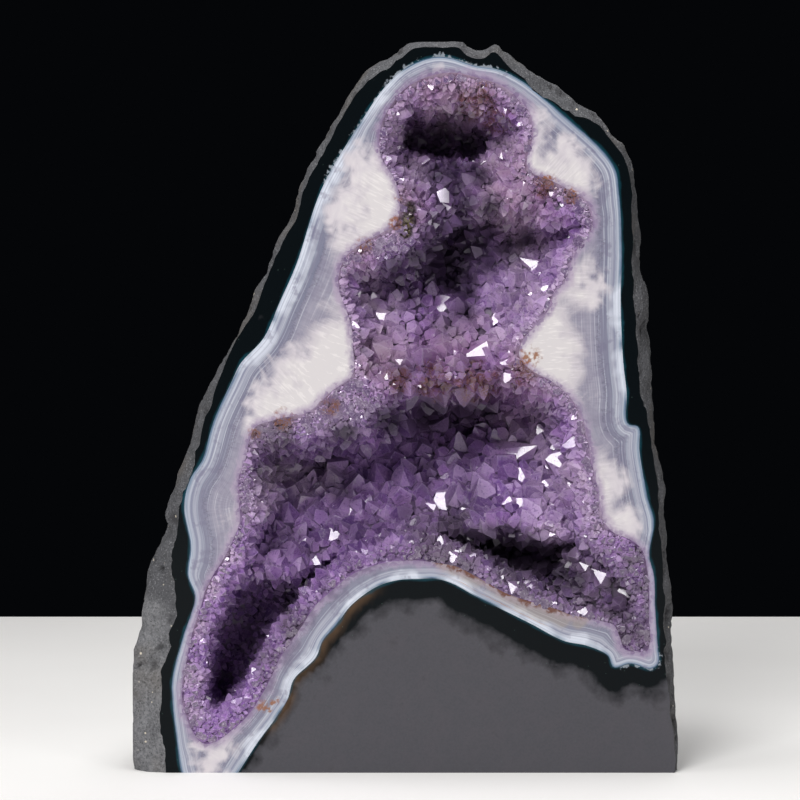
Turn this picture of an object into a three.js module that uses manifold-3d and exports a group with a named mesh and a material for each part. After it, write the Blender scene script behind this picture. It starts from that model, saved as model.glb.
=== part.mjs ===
// An amethyst cathedral: one half of a tall basalt geode, sawn flat in front so that its hollow shows,
// and flat underneath so that it stands. Its layers grew one inside the other: the basalt stone, a lining
// of banded agate and milky quartz, and one crust of amethyst crystals over the whole of the hollow.
// Millimetres, +Z up. The sawn face looks along -Y. The origin is the middle of the base.
import * as THREE from "three";
import { mergeVertices } from "three/addons/utils/BufferGeometryUtils.js";
import Module from "manifold-3d";

const wasm = await Module();
wasm.setup();

// Driving dimensions
const HEIGHT = 300;
const WIDTH = 226;
const DEPTH = 140; // from the sawn face to the back
const FACE_Y = -DEPTH / 2;
const BASALT = 16; // least stone behind the lining
const LINING = 5; // least agate behind the crust
const CRUST = 5; // quartz that the crystals stand on
const GAP = 0.3; // between one layer and the next
const WALL = 20; // how far in from its edge a hollow reaches its full depth
const CORNER_DEPTH = 9; // how far behind the sawn face the stone is widest
const SAMPLES = 2; // points of a smooth outline for each one listed
const HEART = new THREE.Vector2(2, 70); // the stone's middle, which its back tapers towards

// The stone seen from the front, anticlockwise from the right end of the base: x, z and the width of
// the broken edge outside the sawn face. The last seven lie under the base, where the saw cut it off.
const STONE_OUTLINE = [
  [112.5, 1, 2], [111, 27.5, 2], [109, 54.5, 2], [107, 79.5, 3.5], [105.5, 106, 4], [102.5, 130, 4],
  [101, 153.5, 4.5], [99.5, 176, 5.5], [97, 199.5, 5.5], [95, 223.5, 5], [93, 242, 4], [90, 253, 3.5],
  [84.5, 260.5, 3], [77.5, 269.5, 2.5], [68, 274.5, 3.5], [59, 281, 4], [49, 287.5, 3.5],
  [41.5, 293, 2], [36.5, 297, 1], [32, 294, 1], [25.5, 295, 1], [21.5, 299, 1.5], [11.5, 300, 2],
  [2.5, 299.5, 2.5], [-7.5, 292.5, 3], [-15.5, 286.5, 3], [-22, 277, 2.5], [-28, 267.5, 1.5],
  [-37.5, 251.5, 1], [-42.5, 241.5, 1], [-46, 228, 1.5], [-51.5, 220, 2.5], [-56.5, 207.5, 1.5],
  [-63, 190, 1], [-71.5, 176, 1], [-78.5, 159, 1], [-84, 145.5, 1.5], [-88.5, 134.5, 3.5],
  [-93.5, 120.5, 3.5], [-97.5, 106, 4], [-97.5, 98, 5], [-102.5, 89.5, 8], [-105.5, 79.5, 11],
  [-108, 62, 12.5], [-111, 45, 13], [-113, 36, 13.5], [-111.5, 27.5, 13], [-112.5, 12, 14],
  [-111, 0.5, 15], [-105, -34, 12], [-82, -68, 4], [-45, -92, 2], [0, -97, 2], [43, -92, 2],
  [84, -70, 2], [106, -35, 2],
];

// Where basalt meets agate in the sawn face, from the foot of the left leg, over the inner arch, up the
// right side, across the top and down the left side.
const LINING_OUTLINE = [
  [-69.5, -1], [-60.5, 13], [-53.5, 22.5], [-48.5, 30.5], [-46, 38.5], [-37, 47.5], [-34, 54.5],
  [-28, 61.5], [-23, 68.5], [-12.5, 76.5], [-3.5, 79.5], [5.5, 80], [13, 80], [19.5, 78], [28.5, 73],
  [37.5, 68.5], [51.5, 61.5], [65, 54.5], [74.5, 52.5], [83, 48.5], [85.5, 43.5], [92.5, 45],
  [101, 43], [104, 45.5], [103.5, 53.5], [102.5, 67.5], [102, 81], [100, 90], [102, 103.5],
  [99.5, 113], [96, 132.5], [95.5, 142.5], [91, 144], [90.5, 156.5], [89, 170], [88, 194.5],
  [88.5, 215], [87.5, 236], [85.5, 248.5], [79, 257], [69, 266], [58, 275.5], [47, 284],
  [37.5, 288.5], [28.5, 290], [19, 293], [11.5, 293.5], [0, 289], [-9.5, 280], [-17, 269],
  [-25, 256.5], [-32.5, 243.5], [-37.5, 233], [-45.5, 209], [-51.5, 193.5], [-58, 179],
  [-67.5, 168.5], [-71.5, 160.5], [-78.5, 145.5], [-83.5, 129], [-88.5, 121], [-91, 109.5],
  [-88.5, 93.5], [-89.5, 81.5], [-86.5, 72.5], [-88.5, 64.5], [-91.5, 56], [-96, 38.5],
  [-96, 30], [-94, 12], [-92, -1], [-86, -12], [-76, -12],
];

// The mouth of the hollow in the sawn face, from the tip of the left pocket up the left side, over the
// top chamber, down the right side into the right pocket, and back over the inner arch.
const MOUTH_OUTLINE = [
  [-75.5, 24.5], [-81.5, 29], [-81.5, 37], [-80, 50], [-79, 59], [-74.5, 66], [-72, 75.5],
  [-65, 86.5], [-64, 94], [-60, 106], [-62, 120.5], [-63, 129.5], [-61.5, 135], [-49.5, 136.5],
  [-39.5, 137.5], [-32, 141.5], [-24, 143], [-16.5, 142.5], [-13, 147.5], [-8.5, 152.5],
  [-9, 157.5], [-16.5, 161.5], [-20, 174], [-20.5, 184.5], [-25, 199], [-22, 208], [-16, 210.5],
  [-8.5, 210.5], [-0.5, 212], [2.5, 217.5], [2.5, 225.5], [0, 234.5], [-1.5, 242.5], [-7, 250],
  [-8, 258.5], [-6.5, 268], [-1.5, 277], [7, 281.5], [17, 283], [28.5, 281.5], [39, 278],
  [46, 272], [48.5, 264.5], [47, 253], [45.5, 247.5], [50.5, 242.5], [58.5, 238.5], [69.5, 231],
  [73.5, 223.5], [67.5, 216], [64.5, 209], [63, 203], [58, 198], [57, 192.5], [51, 186],
  [44.5, 177], [44, 171], [49, 164], [58.5, 158.5], [65.5, 152.5], [69.5, 141], [73, 126.5],
  [75.5, 112.5], [75, 98], [81.5, 87.5], [89, 78], [93.5, 69.5], [90.5, 63.5], [80, 65.5],
  [69.5, 68.5], [57.5, 75], [45, 81], [32.5, 87.5], [22.5, 92], [10, 94.5], [0, 94.5],
  [-11.5, 92], [-23, 87], [-33, 79], [-40, 71], [-47.5, 62], [-56, 51.5], [-61.5, 40.5], [-69, 29],
];

// Ledges cross the hollow and part it into chambers: the height of each one's lip at x. Under a lip the
// wall drops back into the stone, and then slopes forward down to the next lip.
const LEDGES = [
  { depth: 9, lip: [[-16, 210], [6, 215.5], [18.5, 224], [26.5, 228.5], [53, 226.5], [69.5, 222.5]] },
  { depth: 6, lip: [[-61.5, 135], [-32, 141], [-16.5, 142.5], [-9, 152.5], [10, 157], [51, 157], [70, 150]] },
  { depth: 32, lip: [[-74.5, 71], [-49.5, 75], [-23, 87.5], [-2.5, 92], [28.5, 93], [44, 97.5], [76, 92]] },
];
const HOLLOW_TOP = 283;
const POCKET_DROP = 20; // how far below the last lip the floor pockets are deepest

// Depth behind the face down each chamber: share of the way from the lip above to the one below, and mm.
const CHAMBERS = [
  [[0, 20], [0.2, 56], [0.4, 66], [0.5, 54], [0.72, 28], [1, LEDGES[0].depth]],
  [[0, LEDGES[0].depth], [0.1, 42], [0.24, 62], [0.42, 54], [0.65, 36], [0.85, 17], [1, LEDGES[1].depth]],
  [[0, LEDGES[1].depth], [0.1, 52], [0.26, 92], [0.42, 90], [0.62, 70], [0.82, 48], [1, LEDGES[2].depth]],
  [[0, LEDGES[2].depth], [0.5, 74], [1, 92]],
];
const LINING_DEPTH = [[0, 30], [45, 100], [150, 106], [195, 80], [290, 66]]; // height and depth of the agate

// Value at x of a line through points [x, value], level beyond its ends.
function along(points, x) {
  const next = points.findIndex((p) => p[0] > x);
  if (next === 0) return points[0][1];
  if (next < 0) return points.at(-1)[1];
  const [a, b] = [points[next - 1], points[next]];
  return THREE.MathUtils.mapLinear(x, a[0], b[0], a[1], b[1]);
}

// A closed smooth curve through the listed points. A third number, where there is one, is carried along.
function smoothOutline(points) {
  const nodes = points.map(([x, z, width = 0]) => new THREE.Vector3(x, z, width));
  const curve = new THREE.CatmullRomCurve3(nodes, true, "centripetal");
  return curve.getPoints(points.length * SAMPLES).slice(0, -1);
}

const stone = smoothOutline(STONE_OUTLINE);
const lining = smoothOutline(LINING_OUTLINE);
const mouth = smoothOutline(MOUTH_OUTLINE);

// Distance from a point of the face to an outline, positive inside it.
function insideDistance(outline, x, z) {
  let nearest = Infinity;
  let inside = false;
  outline.forEach((a, i) => {
    const b = outline[(i + 1) % outline.length];
    const [ex, ez] = [b.x - a.x, b.y - a.y];
    const share = THREE.MathUtils.clamp(((x - a.x) * ex + (z - a.y) * ez) / (ex * ex + ez * ez), 0, 1);
    nearest = Math.min(nearest, Math.hypot(x - a.x - share * ex, z - a.y - share * ez));
    if (a.y > z !== b.y > z && x < a.x + (ex * (z - a.y)) / ez) inside = !inside;
  });
  return inside ? nearest : -nearest;
}

// The stone's back is a dome: the share of its outline that is left at a depth, and the other way round.
const DOME_SIDE = 2.6;
const DOME_BACK = 2.4;
const domeShare = (depth) => (1 - (depth / DEPTH) ** DOME_BACK) ** (1 / DOME_SIDE);
const domeDepth = (share) => DEPTH * Math.max(0, 1 - share ** DOME_SIDE) ** (1 / DOME_BACK);

// How far a point of the face lies from the heart, as a share of the way to the stone's outline.
const stoneRays = stone
  .map((p) => [Math.atan2(p.y - HEART.y, p.x - HEART.x), Math.hypot(p.x - HEART.x, p.y - HEART.y)])
  .sort((a, b) => a[0] - b[0]);
function shareOfStone(x, z) {
  const reach = along(stoneRays, Math.atan2(z - HEART.y, x - HEART.x));
  return Math.hypot(x - HEART.x, z - HEART.y) / reach;
}

// A hollow deepens from its edge. Outside the edge it goes on forward of the face at the same slope.
const wallShare = (inside) => (inside < 0 ? (2 * inside) / WALL : 1 - (1 - Math.min(inside / WALL, 1)) ** 2);

// Depth of the chambers at a point of the face, before the hollow's walls close in.
function chamberDepth(x, z) {
  const lips = [HOLLOW_TOP, ...LEDGES.map((ledge) => along(ledge.lip, x))];
  lips.push(lips.at(-1) - POCKET_DROP);
  const room = CHAMBERS.findIndex((_, i) => z > lips[i + 1]);
  if (room < 0) return CHAMBERS.at(-1).at(-1)[1];
  return along(CHAMBERS[room], (lips[room] - z) / (lips[room] - lips[room + 1]));
}

// Depth behind the face of basalt's inner surface, grown outwards by a few tenths or a few millimetres.
function liningDepth(x, z, grow = 0) {
  const own = wallShare(insideDistance(lining, x, z) + grow) * (along(LINING_DEPTH, z) + grow);
  return Math.min(own, domeDepth(shareOfStone(x, z)) - BASALT + grow);
}

// Depth behind the face of the hollow that the crystals stand in.
function hollowDepth(x, z) {
  const own = wallShare(insideDistance(mouth, x, z)) * chamberDepth(x, z);
  return Math.min(own, liningDepth(x, z) - LINING - CRUST);
}

// The way out of the wall into the hollow.
function wallNormal(x, z) {
  const step = 1.5;
  const slopeX = (hollowDepth(x + step, z) - hollowDepth(x - step, z)) / (2 * step);
  const slopeZ = (hollowDepth(x, z + step) - hollowDepth(x, z - step)) / (2 * step);
  return new THREE.Vector3(slopeX, -1, slopeZ).normalize();
}

// Depth behind the face where crust meets lining, grown in the same way. It eases over the ledges.
const EASE = 5;
function seatDepth(x, z, grow) {
  const room = Math.max(...[-EASE, 0, EASE].map((step) => chamberDepth(x, z + step)));
  const own = wallShare(insideDistance(mouth, x, z) + grow) * (room + grow);
  return Math.min(own, liningDepth(x, z) - LINING - CRUST + grow);
}

function solidOf(geometry) {
  geometry.deleteAttribute("normal");
  geometry.deleteAttribute("uv");
  const merged = mergeVertices(geometry, 1e-4);
  return new wasm.Manifold(
    new wasm.Mesh({
      numProp: 3,
      vertProperties: merged.attributes.position.array,
      triVerts: new Uint32Array(merged.index.array),
    }),
  );
}

function geometryOf(solid) {
  const { vertProperties, triVerts } = solid.getMesh();
  return new THREE.BufferGeometry()
    .setAttribute("position", new THREE.BufferAttribute(vertProperties, 3))
    .setIndex(new THREE.BufferAttribute(triVerts, 1));
}

// Everything behind the sawn face and above the base.
const REACH = 600;
const beyondSaw = solidOf(
  new THREE.BoxGeometry(REACH, REACH, REACH).translate(0, FACE_Y + REACH / 2, REACH / 2),
);

// A steady number from 0 to 1 for a place in a grid.
function scatter(column, row) {
  const wave = Math.sin(column * 12.99 + row * 78.23) * 43758.5;
  return wave - Math.floor(wave);
}

// A broad block in front of the stone whose back is pushed in to a depth at each point of a grid. Where
// a height of peaks is given, every third point is a peak with six others round it, and none keeps to rows.
const FACE_FROM = new THREE.Vector2(-WIDTH / 2 - 5, -17);
const FACE_SIZE = new THREE.Vector2(WIDTH + 10, HEIGHT + 17);
const FRONT_Y = -REACH;
function pushedIn(depthAt, cell, peakAt) {
  const [across, up] = [Math.round(FACE_SIZE.x / cell), Math.round(FACE_SIZE.y / cell)];
  const block = new THREE.BoxGeometry(FACE_SIZE.x, 1, FACE_SIZE.y, across, 1, up);
  block.translate(FACE_FROM.x + FACE_SIZE.x / 2, 0, FACE_FROM.y + FACE_SIZE.y / 2);
  const at = block.attributes.position;
  for (let i = 0; i < at.count; i++) {
    let x = at.getX(i);
    let z = at.getZ(i);
    const column = Math.round(((x - FACE_FROM.x) / FACE_SIZE.x) * across);
    const row = Math.round(((z - FACE_FROM.y) / FACE_SIZE.y) * up);
    const point = new THREE.Vector3(x, FACE_Y + depthAt(x, z), z);
    if (peakAt && point.y > FACE_Y) {
      x += (cell / 3) * (scatter(column, row) - 0.5);
      z += (cell / 3) * (scatter(row, column + up) - 0.5);
      point.set(x, FACE_Y + depthAt(x, z), z);
      if ((column + 2 * row) % 3 === 0) point.add(peakAt(x, z));
    }
    at.setXYZ(i, point.x, at.getY(i) < 0 ? FRONT_Y : Math.max(point.y, FRONT_Y / 2), point.z);
  }
  return solidOf(block);
}

const LINING_CELL = 10.5; // grids of the surfaces between stone and lining, lining and crust,
const SEAT_CELL = 9.5;
const HOLLOW_CELL = 5.8; // and crust and hollow

// Broad lumps and small ones on the stone's back, none at its outline.
const BROAD_LUMP = 3.2;
const SMALL_LUMP = 1.7;
function lumps(x, y, z) {
  const fade = THREE.MathUtils.smoothstep(y - FACE_Y, CORNER_DEPTH, 4 * CORNER_DEPTH);
  const broad = Math.sin(x / 24 + y / 31) * Math.cos(z / 27 - y / 35);
  const small = Math.sin(z / 12 + x / 17) * Math.sin(y / 13 - x / 15);
  return fade * (BROAD_LUMP * broad + SMALL_LUMP * small);
}

// A point of the stone's outline, averaged with more of its neighbours the further back its ring lies.
const SMOOTHED_BY = 4;
function ringEdge(index, depth) {
  const spread = Math.round((SMOOTHED_BY * Math.min(2 * (depth - CORNER_DEPTH), DEPTH)) / DEPTH);
  const sum = new THREE.Vector3();
  for (let k = -spread; k <= spread; k++) sum.add(stone[(index + k + stone.length) % stone.length]);
  return sum.divideScalar(Math.max(2 * spread + 1, 1));
}

// The stone is a round dome whose every ring is stretched to the outline.
const STONE_RINGS = [CORNER_DEPTH, 30, 56, 83, 108, 128];
const FACE_ROW = 1;
function stoneBlock() {
  const profile = [new THREE.Vector2(0, 0), new THREE.Vector2(1, 0)];
  STONE_RINGS.forEach((depth) => profile.push(new THREE.Vector2(domeShare(depth), depth)));
  profile.push(new THREE.Vector2(0, DEPTH));
  const rows = profile.length;
  const dome = new THREE.LatheGeometry(profile, stone.length);
  const at = dome.attributes.position;
  for (let i = 0; i < at.count; i++) {
    const row = i % rows;
    const { x: share, y: depth } = profile[row];
    const index = (stone.length - Math.floor(i / rows)) % stone.length;
    const edge = ringEdge(index, Math.max(depth, CORNER_DEPTH));
    const ray = new THREE.Vector2(edge.x, edge.y).sub(HEART);
    const brokenEdge = row === FACE_ROW ? edge.z : 0;
    const reach = ray.length() * share - brokenEdge;
    const y = FACE_Y + depth;
    ray.setLength(reach);
    if (share > 0) ray.setLength(reach + lumps(HEART.x + ray.x, y, HEART.y + ray.y));
    at.setXYZ(i, HEART.x + ray.x, y, HEART.y + ray.y);
  }
  return solidOf(dome).intersect(beyondSaw);
}

// A small steady random source, so that every run grows the same crystals.
function randomFrom(seed) {
  let state = seed;
  return () => {
    state = (state * 1664525 + 1013904223) % 4294967296;
    return state / 4294967296;
  };
}

// Crystals are big in the chambers and small along the mouth and over the inner arch.
const BIG_CRYSTAL = 7;
const SMALL_CRYSTAL = 3.6;
function crystalRadius(x, z) {
  const inward = THREE.MathUtils.smoothstep(insideDistance(mouth, x, z), 2, 16);
  return THREE.MathUtils.lerp(SMALL_CRYSTAL, BIG_CRYSTAL, inward);
}

// The six-sided points packed between the large crystals.
const PACKED_HEIGHT = 1.2; // of a crystal's radius
const LEAST_HEIGHT = 0.5; // of the highest
const SIDEWAYS = 3.5; // most that a peak leans over its neighbours
function packedPoint(x, z) {
  const share = THREE.MathUtils.lerp(LEAST_HEIGHT, 1, scatter(x, z));
  const peak = wallNormal(x, z).multiplyScalar(PACKED_HEIGHT * crystalRadius(x, z) * share);
  peak.x = THREE.MathUtils.clamp(peak.x, -SIDEWAYS, SIDEWAYS);
  peak.z = THREE.MathUtils.clamp(peak.z, -SIDEWAYS, SIDEWAYS);
  return peak;
}

// One quartz crystal along +Y: a six-sided point, narrowing downwards to its root.
function quartzPoint(radius) {
  const profile = [[0, -1.1 * radius], [radius, 0.25 * radius], [0, 1.5 * radius]];
  return new THREE.LatheGeometry(profile.map(([r, h]) => new THREE.Vector2(r, h)), 6);
}

const TRIES = 14000;
const FACING = -0.7; // large crystals stand where the wall turns further than this off the open side
const SPACING = 5.1; // least distance between two crystals, in their mean radius
const LEAN = 0.35; // how far a crystal leans off the wall's normal
const FORWARD = 0.5; // how far crystals turn towards the open face
const LEAST_DEPTH = 2; // of a crystal's foot behind the sawn face
function crystals() {
  const random = randomFrom(7);
  const standing = [];
  const made = [];
  const up = new THREE.Vector3(0, 1, 0);
  const mouthBox = new THREE.Box2().setFromPoints(mouth);
  for (let i = 0; i < TRIES; i++) {
    const x = THREE.MathUtils.lerp(mouthBox.min.x, mouthBox.max.x, random());
    const z = THREE.MathUtils.lerp(mouthBox.min.y, mouthBox.max.y, random());
    const [tiltX, tiltY, tiltZ, turn, vary] = [random(), random(), random(), random(), random()];
    const depth = hollowDepth(x, z);
    if (depth < LEAST_DEPTH) continue;
    const place = new THREE.Vector3(x, FACE_Y + depth, z);
    const radius = crystalRadius(x, z) * THREE.MathUtils.lerp(0.8, 1.2, vary);
    const aim = wallNormal(x, z);
    if (aim.y < FACING) continue;
    if (standing.some((s) => s.place.distanceTo(place) < (SPACING * (s.radius + radius)) / 2)) continue;
    standing.push({ place, radius });
    aim.y -= FORWARD;
    aim.add(new THREE.Vector3(tiltX - 0.5, tiltY - 0.5, tiltZ - 0.5).multiplyScalar(2 * LEAN)).normalize();
    const point = quartzPoint(radius).rotateY(turn * Math.PI);
    point.applyQuaternion(new THREE.Quaternion().setFromUnitVectors(up, aim));
    made.push(solidOf(point.translate(place.x, place.y, place.z)));
  }
  return wasm.Manifold.union(made);
}

// The largest body of a solid, without crumbs that a cut left loose.
const wholeOf = (solid) => solid.decompose().reduce((a, b) => (a.volume() > b.volume() ? a : b));

function basaltStone() {
  const seat = pushedIn((x, z) => liningDepth(x, z, GAP), LINING_CELL);
  return wholeOf(stoneBlock().subtract(seat));
}

function agateLining() {
  const outer = pushedIn((x, z) => liningDepth(x, z), LINING_CELL).intersect(beyondSaw);
  const seat = pushedIn((x, z) => seatDepth(x, z, CRUST + GAP), SEAT_CELL);
  return wholeOf(outer.subtract(seat));
}

function amethystCrust() {
  const outer = pushedIn((x, z) => seatDepth(x, z, CRUST), SEAT_CELL).intersect(beyondSaw);
  const hollow = pushedIn(hollowDepth, HOLLOW_CELL, packedPoint);
  return wholeOf(outer.subtract(hollow).add(crystals().intersect(outer)));
}

function layer(name, solid, colour, roughness) {
  const material = new THREE.MeshStandardMaterial({ color: colour, roughness, metalness: 0 });
  const mesh = new THREE.Mesh(geometryOf(solid), material);
  mesh.name = name;
  return mesh;
}

const geode = new THREE.Group();
geode.add(
  layer("basalt_stone", basaltStone(), 0x4b4a50, 0.75),
  layer("agate_lining", agateLining(), 0xd9d6de, 0.3),
  layer("amethyst_crust", amethystCrust(), 0x6b4a8a, 0.15),
);

export default geode;
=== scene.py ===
from itertools import product
from math import cos, pi, radians, sin

import bmesh
import bpy
import numpy as np
from bpy.props import FloatProperty, FloatVectorProperty, IntProperty, PointerProperty
from mathutils import Matrix, Quaternion, Vector
from mathutils.geometry import delaunay_2d_cdt
from mathutils.kdtree import KDTree


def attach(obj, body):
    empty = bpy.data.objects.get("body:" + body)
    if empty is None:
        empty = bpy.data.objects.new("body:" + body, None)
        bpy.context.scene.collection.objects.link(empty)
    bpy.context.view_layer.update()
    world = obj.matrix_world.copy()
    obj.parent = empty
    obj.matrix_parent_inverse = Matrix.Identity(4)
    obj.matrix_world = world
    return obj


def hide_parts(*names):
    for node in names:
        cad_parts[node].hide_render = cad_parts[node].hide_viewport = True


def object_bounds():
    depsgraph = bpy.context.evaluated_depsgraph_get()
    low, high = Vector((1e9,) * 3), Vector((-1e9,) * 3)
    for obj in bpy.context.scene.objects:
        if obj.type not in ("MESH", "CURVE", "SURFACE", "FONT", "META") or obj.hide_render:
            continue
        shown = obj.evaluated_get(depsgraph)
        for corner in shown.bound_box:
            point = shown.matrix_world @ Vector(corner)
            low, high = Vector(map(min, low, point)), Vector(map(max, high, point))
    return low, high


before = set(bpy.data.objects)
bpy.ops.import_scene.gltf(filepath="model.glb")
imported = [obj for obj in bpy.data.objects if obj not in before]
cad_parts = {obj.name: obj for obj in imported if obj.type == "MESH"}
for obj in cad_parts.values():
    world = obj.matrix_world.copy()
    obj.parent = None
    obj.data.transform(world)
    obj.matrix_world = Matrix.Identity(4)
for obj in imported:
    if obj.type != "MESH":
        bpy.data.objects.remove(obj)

bl_info = {
    "name": "Amethyst cathedral",
    "version": (1, 0, 0),
    "blender": (4, 5, 0),
    "location": "3D View > Sidebar > Cathedral",
    "description": "Makes a halved basalt geode: its stone, its banded agate and its amethyst points",
    "category": "Add Mesh",
}

# The frame that every piece is built in. All shapes below are in millimetres, and become metres in a mesh.
MM = 0.001
CAD_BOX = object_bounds()
LOW, HIGH = (np.array(corner) / MM for corner in CAD_BOX)
FACE_Y = LOW[1]
DEPTH = HIGH[1] - LOW[1]

# The stone seen from the front, anticlockwise from the right end of the base: x, z and the width of
# the broken edge outside the sawn face. The last seven lie under the base, where the saw cut it off.
STONE_OUTLINE = [
    [112.5, 1, 2], [111, 27.5, 2], [109.5, 54.5, 3], [108, 79.5, 1.8], [106.5, 106, 2.2], [103.5, 130, 1.5],
    [101.5, 153.5, 4.4], [99.5, 176, 6.4], [97, 199.5, 6.6], [95.5, 223.5, 5], [93, 242, 1.8],
    [90, 253, 0.8], [84.5, 260.5, 0.8], [77.5, 269.5, 3], [68, 274.5, 4], [59, 281, 4], [49, 287.5, 3.5],
    [41.5, 293, 2], [36.5, 297, 1], [32, 294, 1], [25.5, 295, 1], [21.5, 299, 1.5], [11.5, 300, 2],
    [2.5, 299.5, 2.5], [-7.5, 292.5, 3], [-15.5, 286.5, 3], [-22, 277, 1.2], [-28, 267.5, 1.2],
    [-37.5, 251.5, 2.6], [-42.5, 241.5, 2.2], [-46, 228, 2], [-51.5, 220, 2.2], [-56.5, 207.5, 1.6],
    [-63, 190, 0.9], [-71.5, 176, 0.7], [-78.5, 159, 0.9], [-84, 145.5, 1.8], [-88.5, 134.5, 3.4],
    [-93.5, 120.5, 3.4], [-97.5, 106, 3], [-97.5, 98, 4], [-102.5, 89.5, 6.5], [-105.5, 79.5, 11],
    [-108, 62, 12.5], [-111.5, 45, 13], [-113, 36, 13.5], [-112.5, 27.5, 13], [-113, 12, 14],
    [-112, 0.5, 15], [-105, -34, 12], [-82, -68, 4], [-45, -92, 2], [0, -97, 2], [43, -92, 2],
    [84, -70, 2], [106, -35, 2],
]

# Where basalt meets agate in the sawn face, from the foot of the left leg, over the inner arch, up the
# right side, across the top and down the left side.
LINING_OUTLINE = [
    [-69.5, -1], [-60.5, 13], [-53.5, 22.5], [-48.5, 30.5], [-46, 38.5], [-37, 47.5], [-34, 54.5],
    [-28, 61.5], [-23, 68.5], [-12.5, 76.5], [-3.5, 79.5], [5.5, 80], [13, 80], [19.5, 78], [28.5, 73],
    [37.5, 68.5], [51.5, 61.5], [65, 54.5], [74.5, 52.5], [83, 48.5], [85.5, 43.5], [92.5, 45],
    [101, 43], [104, 45.5], [103.5, 53.5], [102.5, 67.5], [102, 81], [100, 90], [102, 103.5],
    [99.5, 113], [96, 132.5], [95.5, 142.5], [91, 144], [90.5, 156.5], [89, 170], [88, 194.5],
    [88.5, 215], [87.5, 236], [85.5, 248.5], [79, 257], [69, 266], [58, 275.5], [47, 284],
    [37.5, 288.5], [28.5, 290], [19, 293], [11.5, 293.5], [0, 289], [-9.5, 280], [-17, 269],
    [-25, 256.5], [-32.5, 243.5], [-37, 233], [-44.5, 209.5], [-51.5, 193.5], [-58, 179],
    [-67.5, 168.5], [-71.5, 160.5], [-78.5, 145.5], [-83.5, 129], [-88.5, 121], [-91, 109.5],
    [-88.5, 93.5], [-89.5, 81.5], [-86.5, 72.5], [-88.5, 64.5], [-91.5, 56], [-96, 38.5],
    [-96, 30], [-94, 12], [-92, -1], [-86, -12], [-76, -12],
]
ARCH_POINTS = 24  # of them, the first, run from the left foot over the arch to the right end

# The mouth of the hollow in the sawn face, from the tip of the left pocket up the left side, over the
# top chamber, down the right side into the right pocket, and back over the inner arch.
MOUTH_OUTLINE = [
    [-75.5, 24.5], [-81.5, 29], [-81.5, 37], [-80, 50], [-79, 59], [-74.5, 66], [-72, 75.5],
    [-65, 86.5], [-64, 94], [-60, 106], [-62, 120.5], [-63, 129.5], [-61.5, 135], [-49.5, 136.5],
    [-39.5, 137.5], [-32, 141.5], [-24, 143], [-16.5, 142.5], [-13, 147.5], [-8.5, 152.5],
    [-9, 157.5], [-16.5, 161.5], [-20, 174], [-20.5, 184.5], [-25, 199], [-22, 208], [-16, 210.5],
    [-8.5, 210.5], [-0.5, 212], [2.5, 217.5], [2.5, 225.5], [0, 234.5], [-1.5, 242.5], [-7, 250],
    [-8, 258.5], [-6.5, 268], [-1.5, 277], [7, 281.5], [17, 283], [28.5, 281.5], [39, 278],
    [46, 272], [48.5, 264.5], [47, 253], [45.5, 247.5], [50.5, 242.5], [58.5, 238.5], [69.5, 231],
    [73.5, 223.5], [67.5, 216], [64.5, 209], [63, 203], [58, 198], [57, 192.5], [51, 186],
    [44.5, 177], [44, 171], [49, 164], [58.5, 158.5], [65.5, 152.5], [69.5, 141], [73, 126.5],
    [75.5, 112.5], [75, 98], [81.5, 87.5], [89, 78], [93.5, 69.5], [90.5, 63.5], [80, 65.5],
    [69.5, 68.5], [57.5, 75], [45, 81], [32.5, 87.5], [22.5, 92], [10, 94.5], [0, 94.5],
    [-11.5, 92], [-23, 87], [-33, 79], [-40, 71], [-47.5, 62], [-56, 51.5], [-61.5, 40.5], [-69, 29],
]

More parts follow.
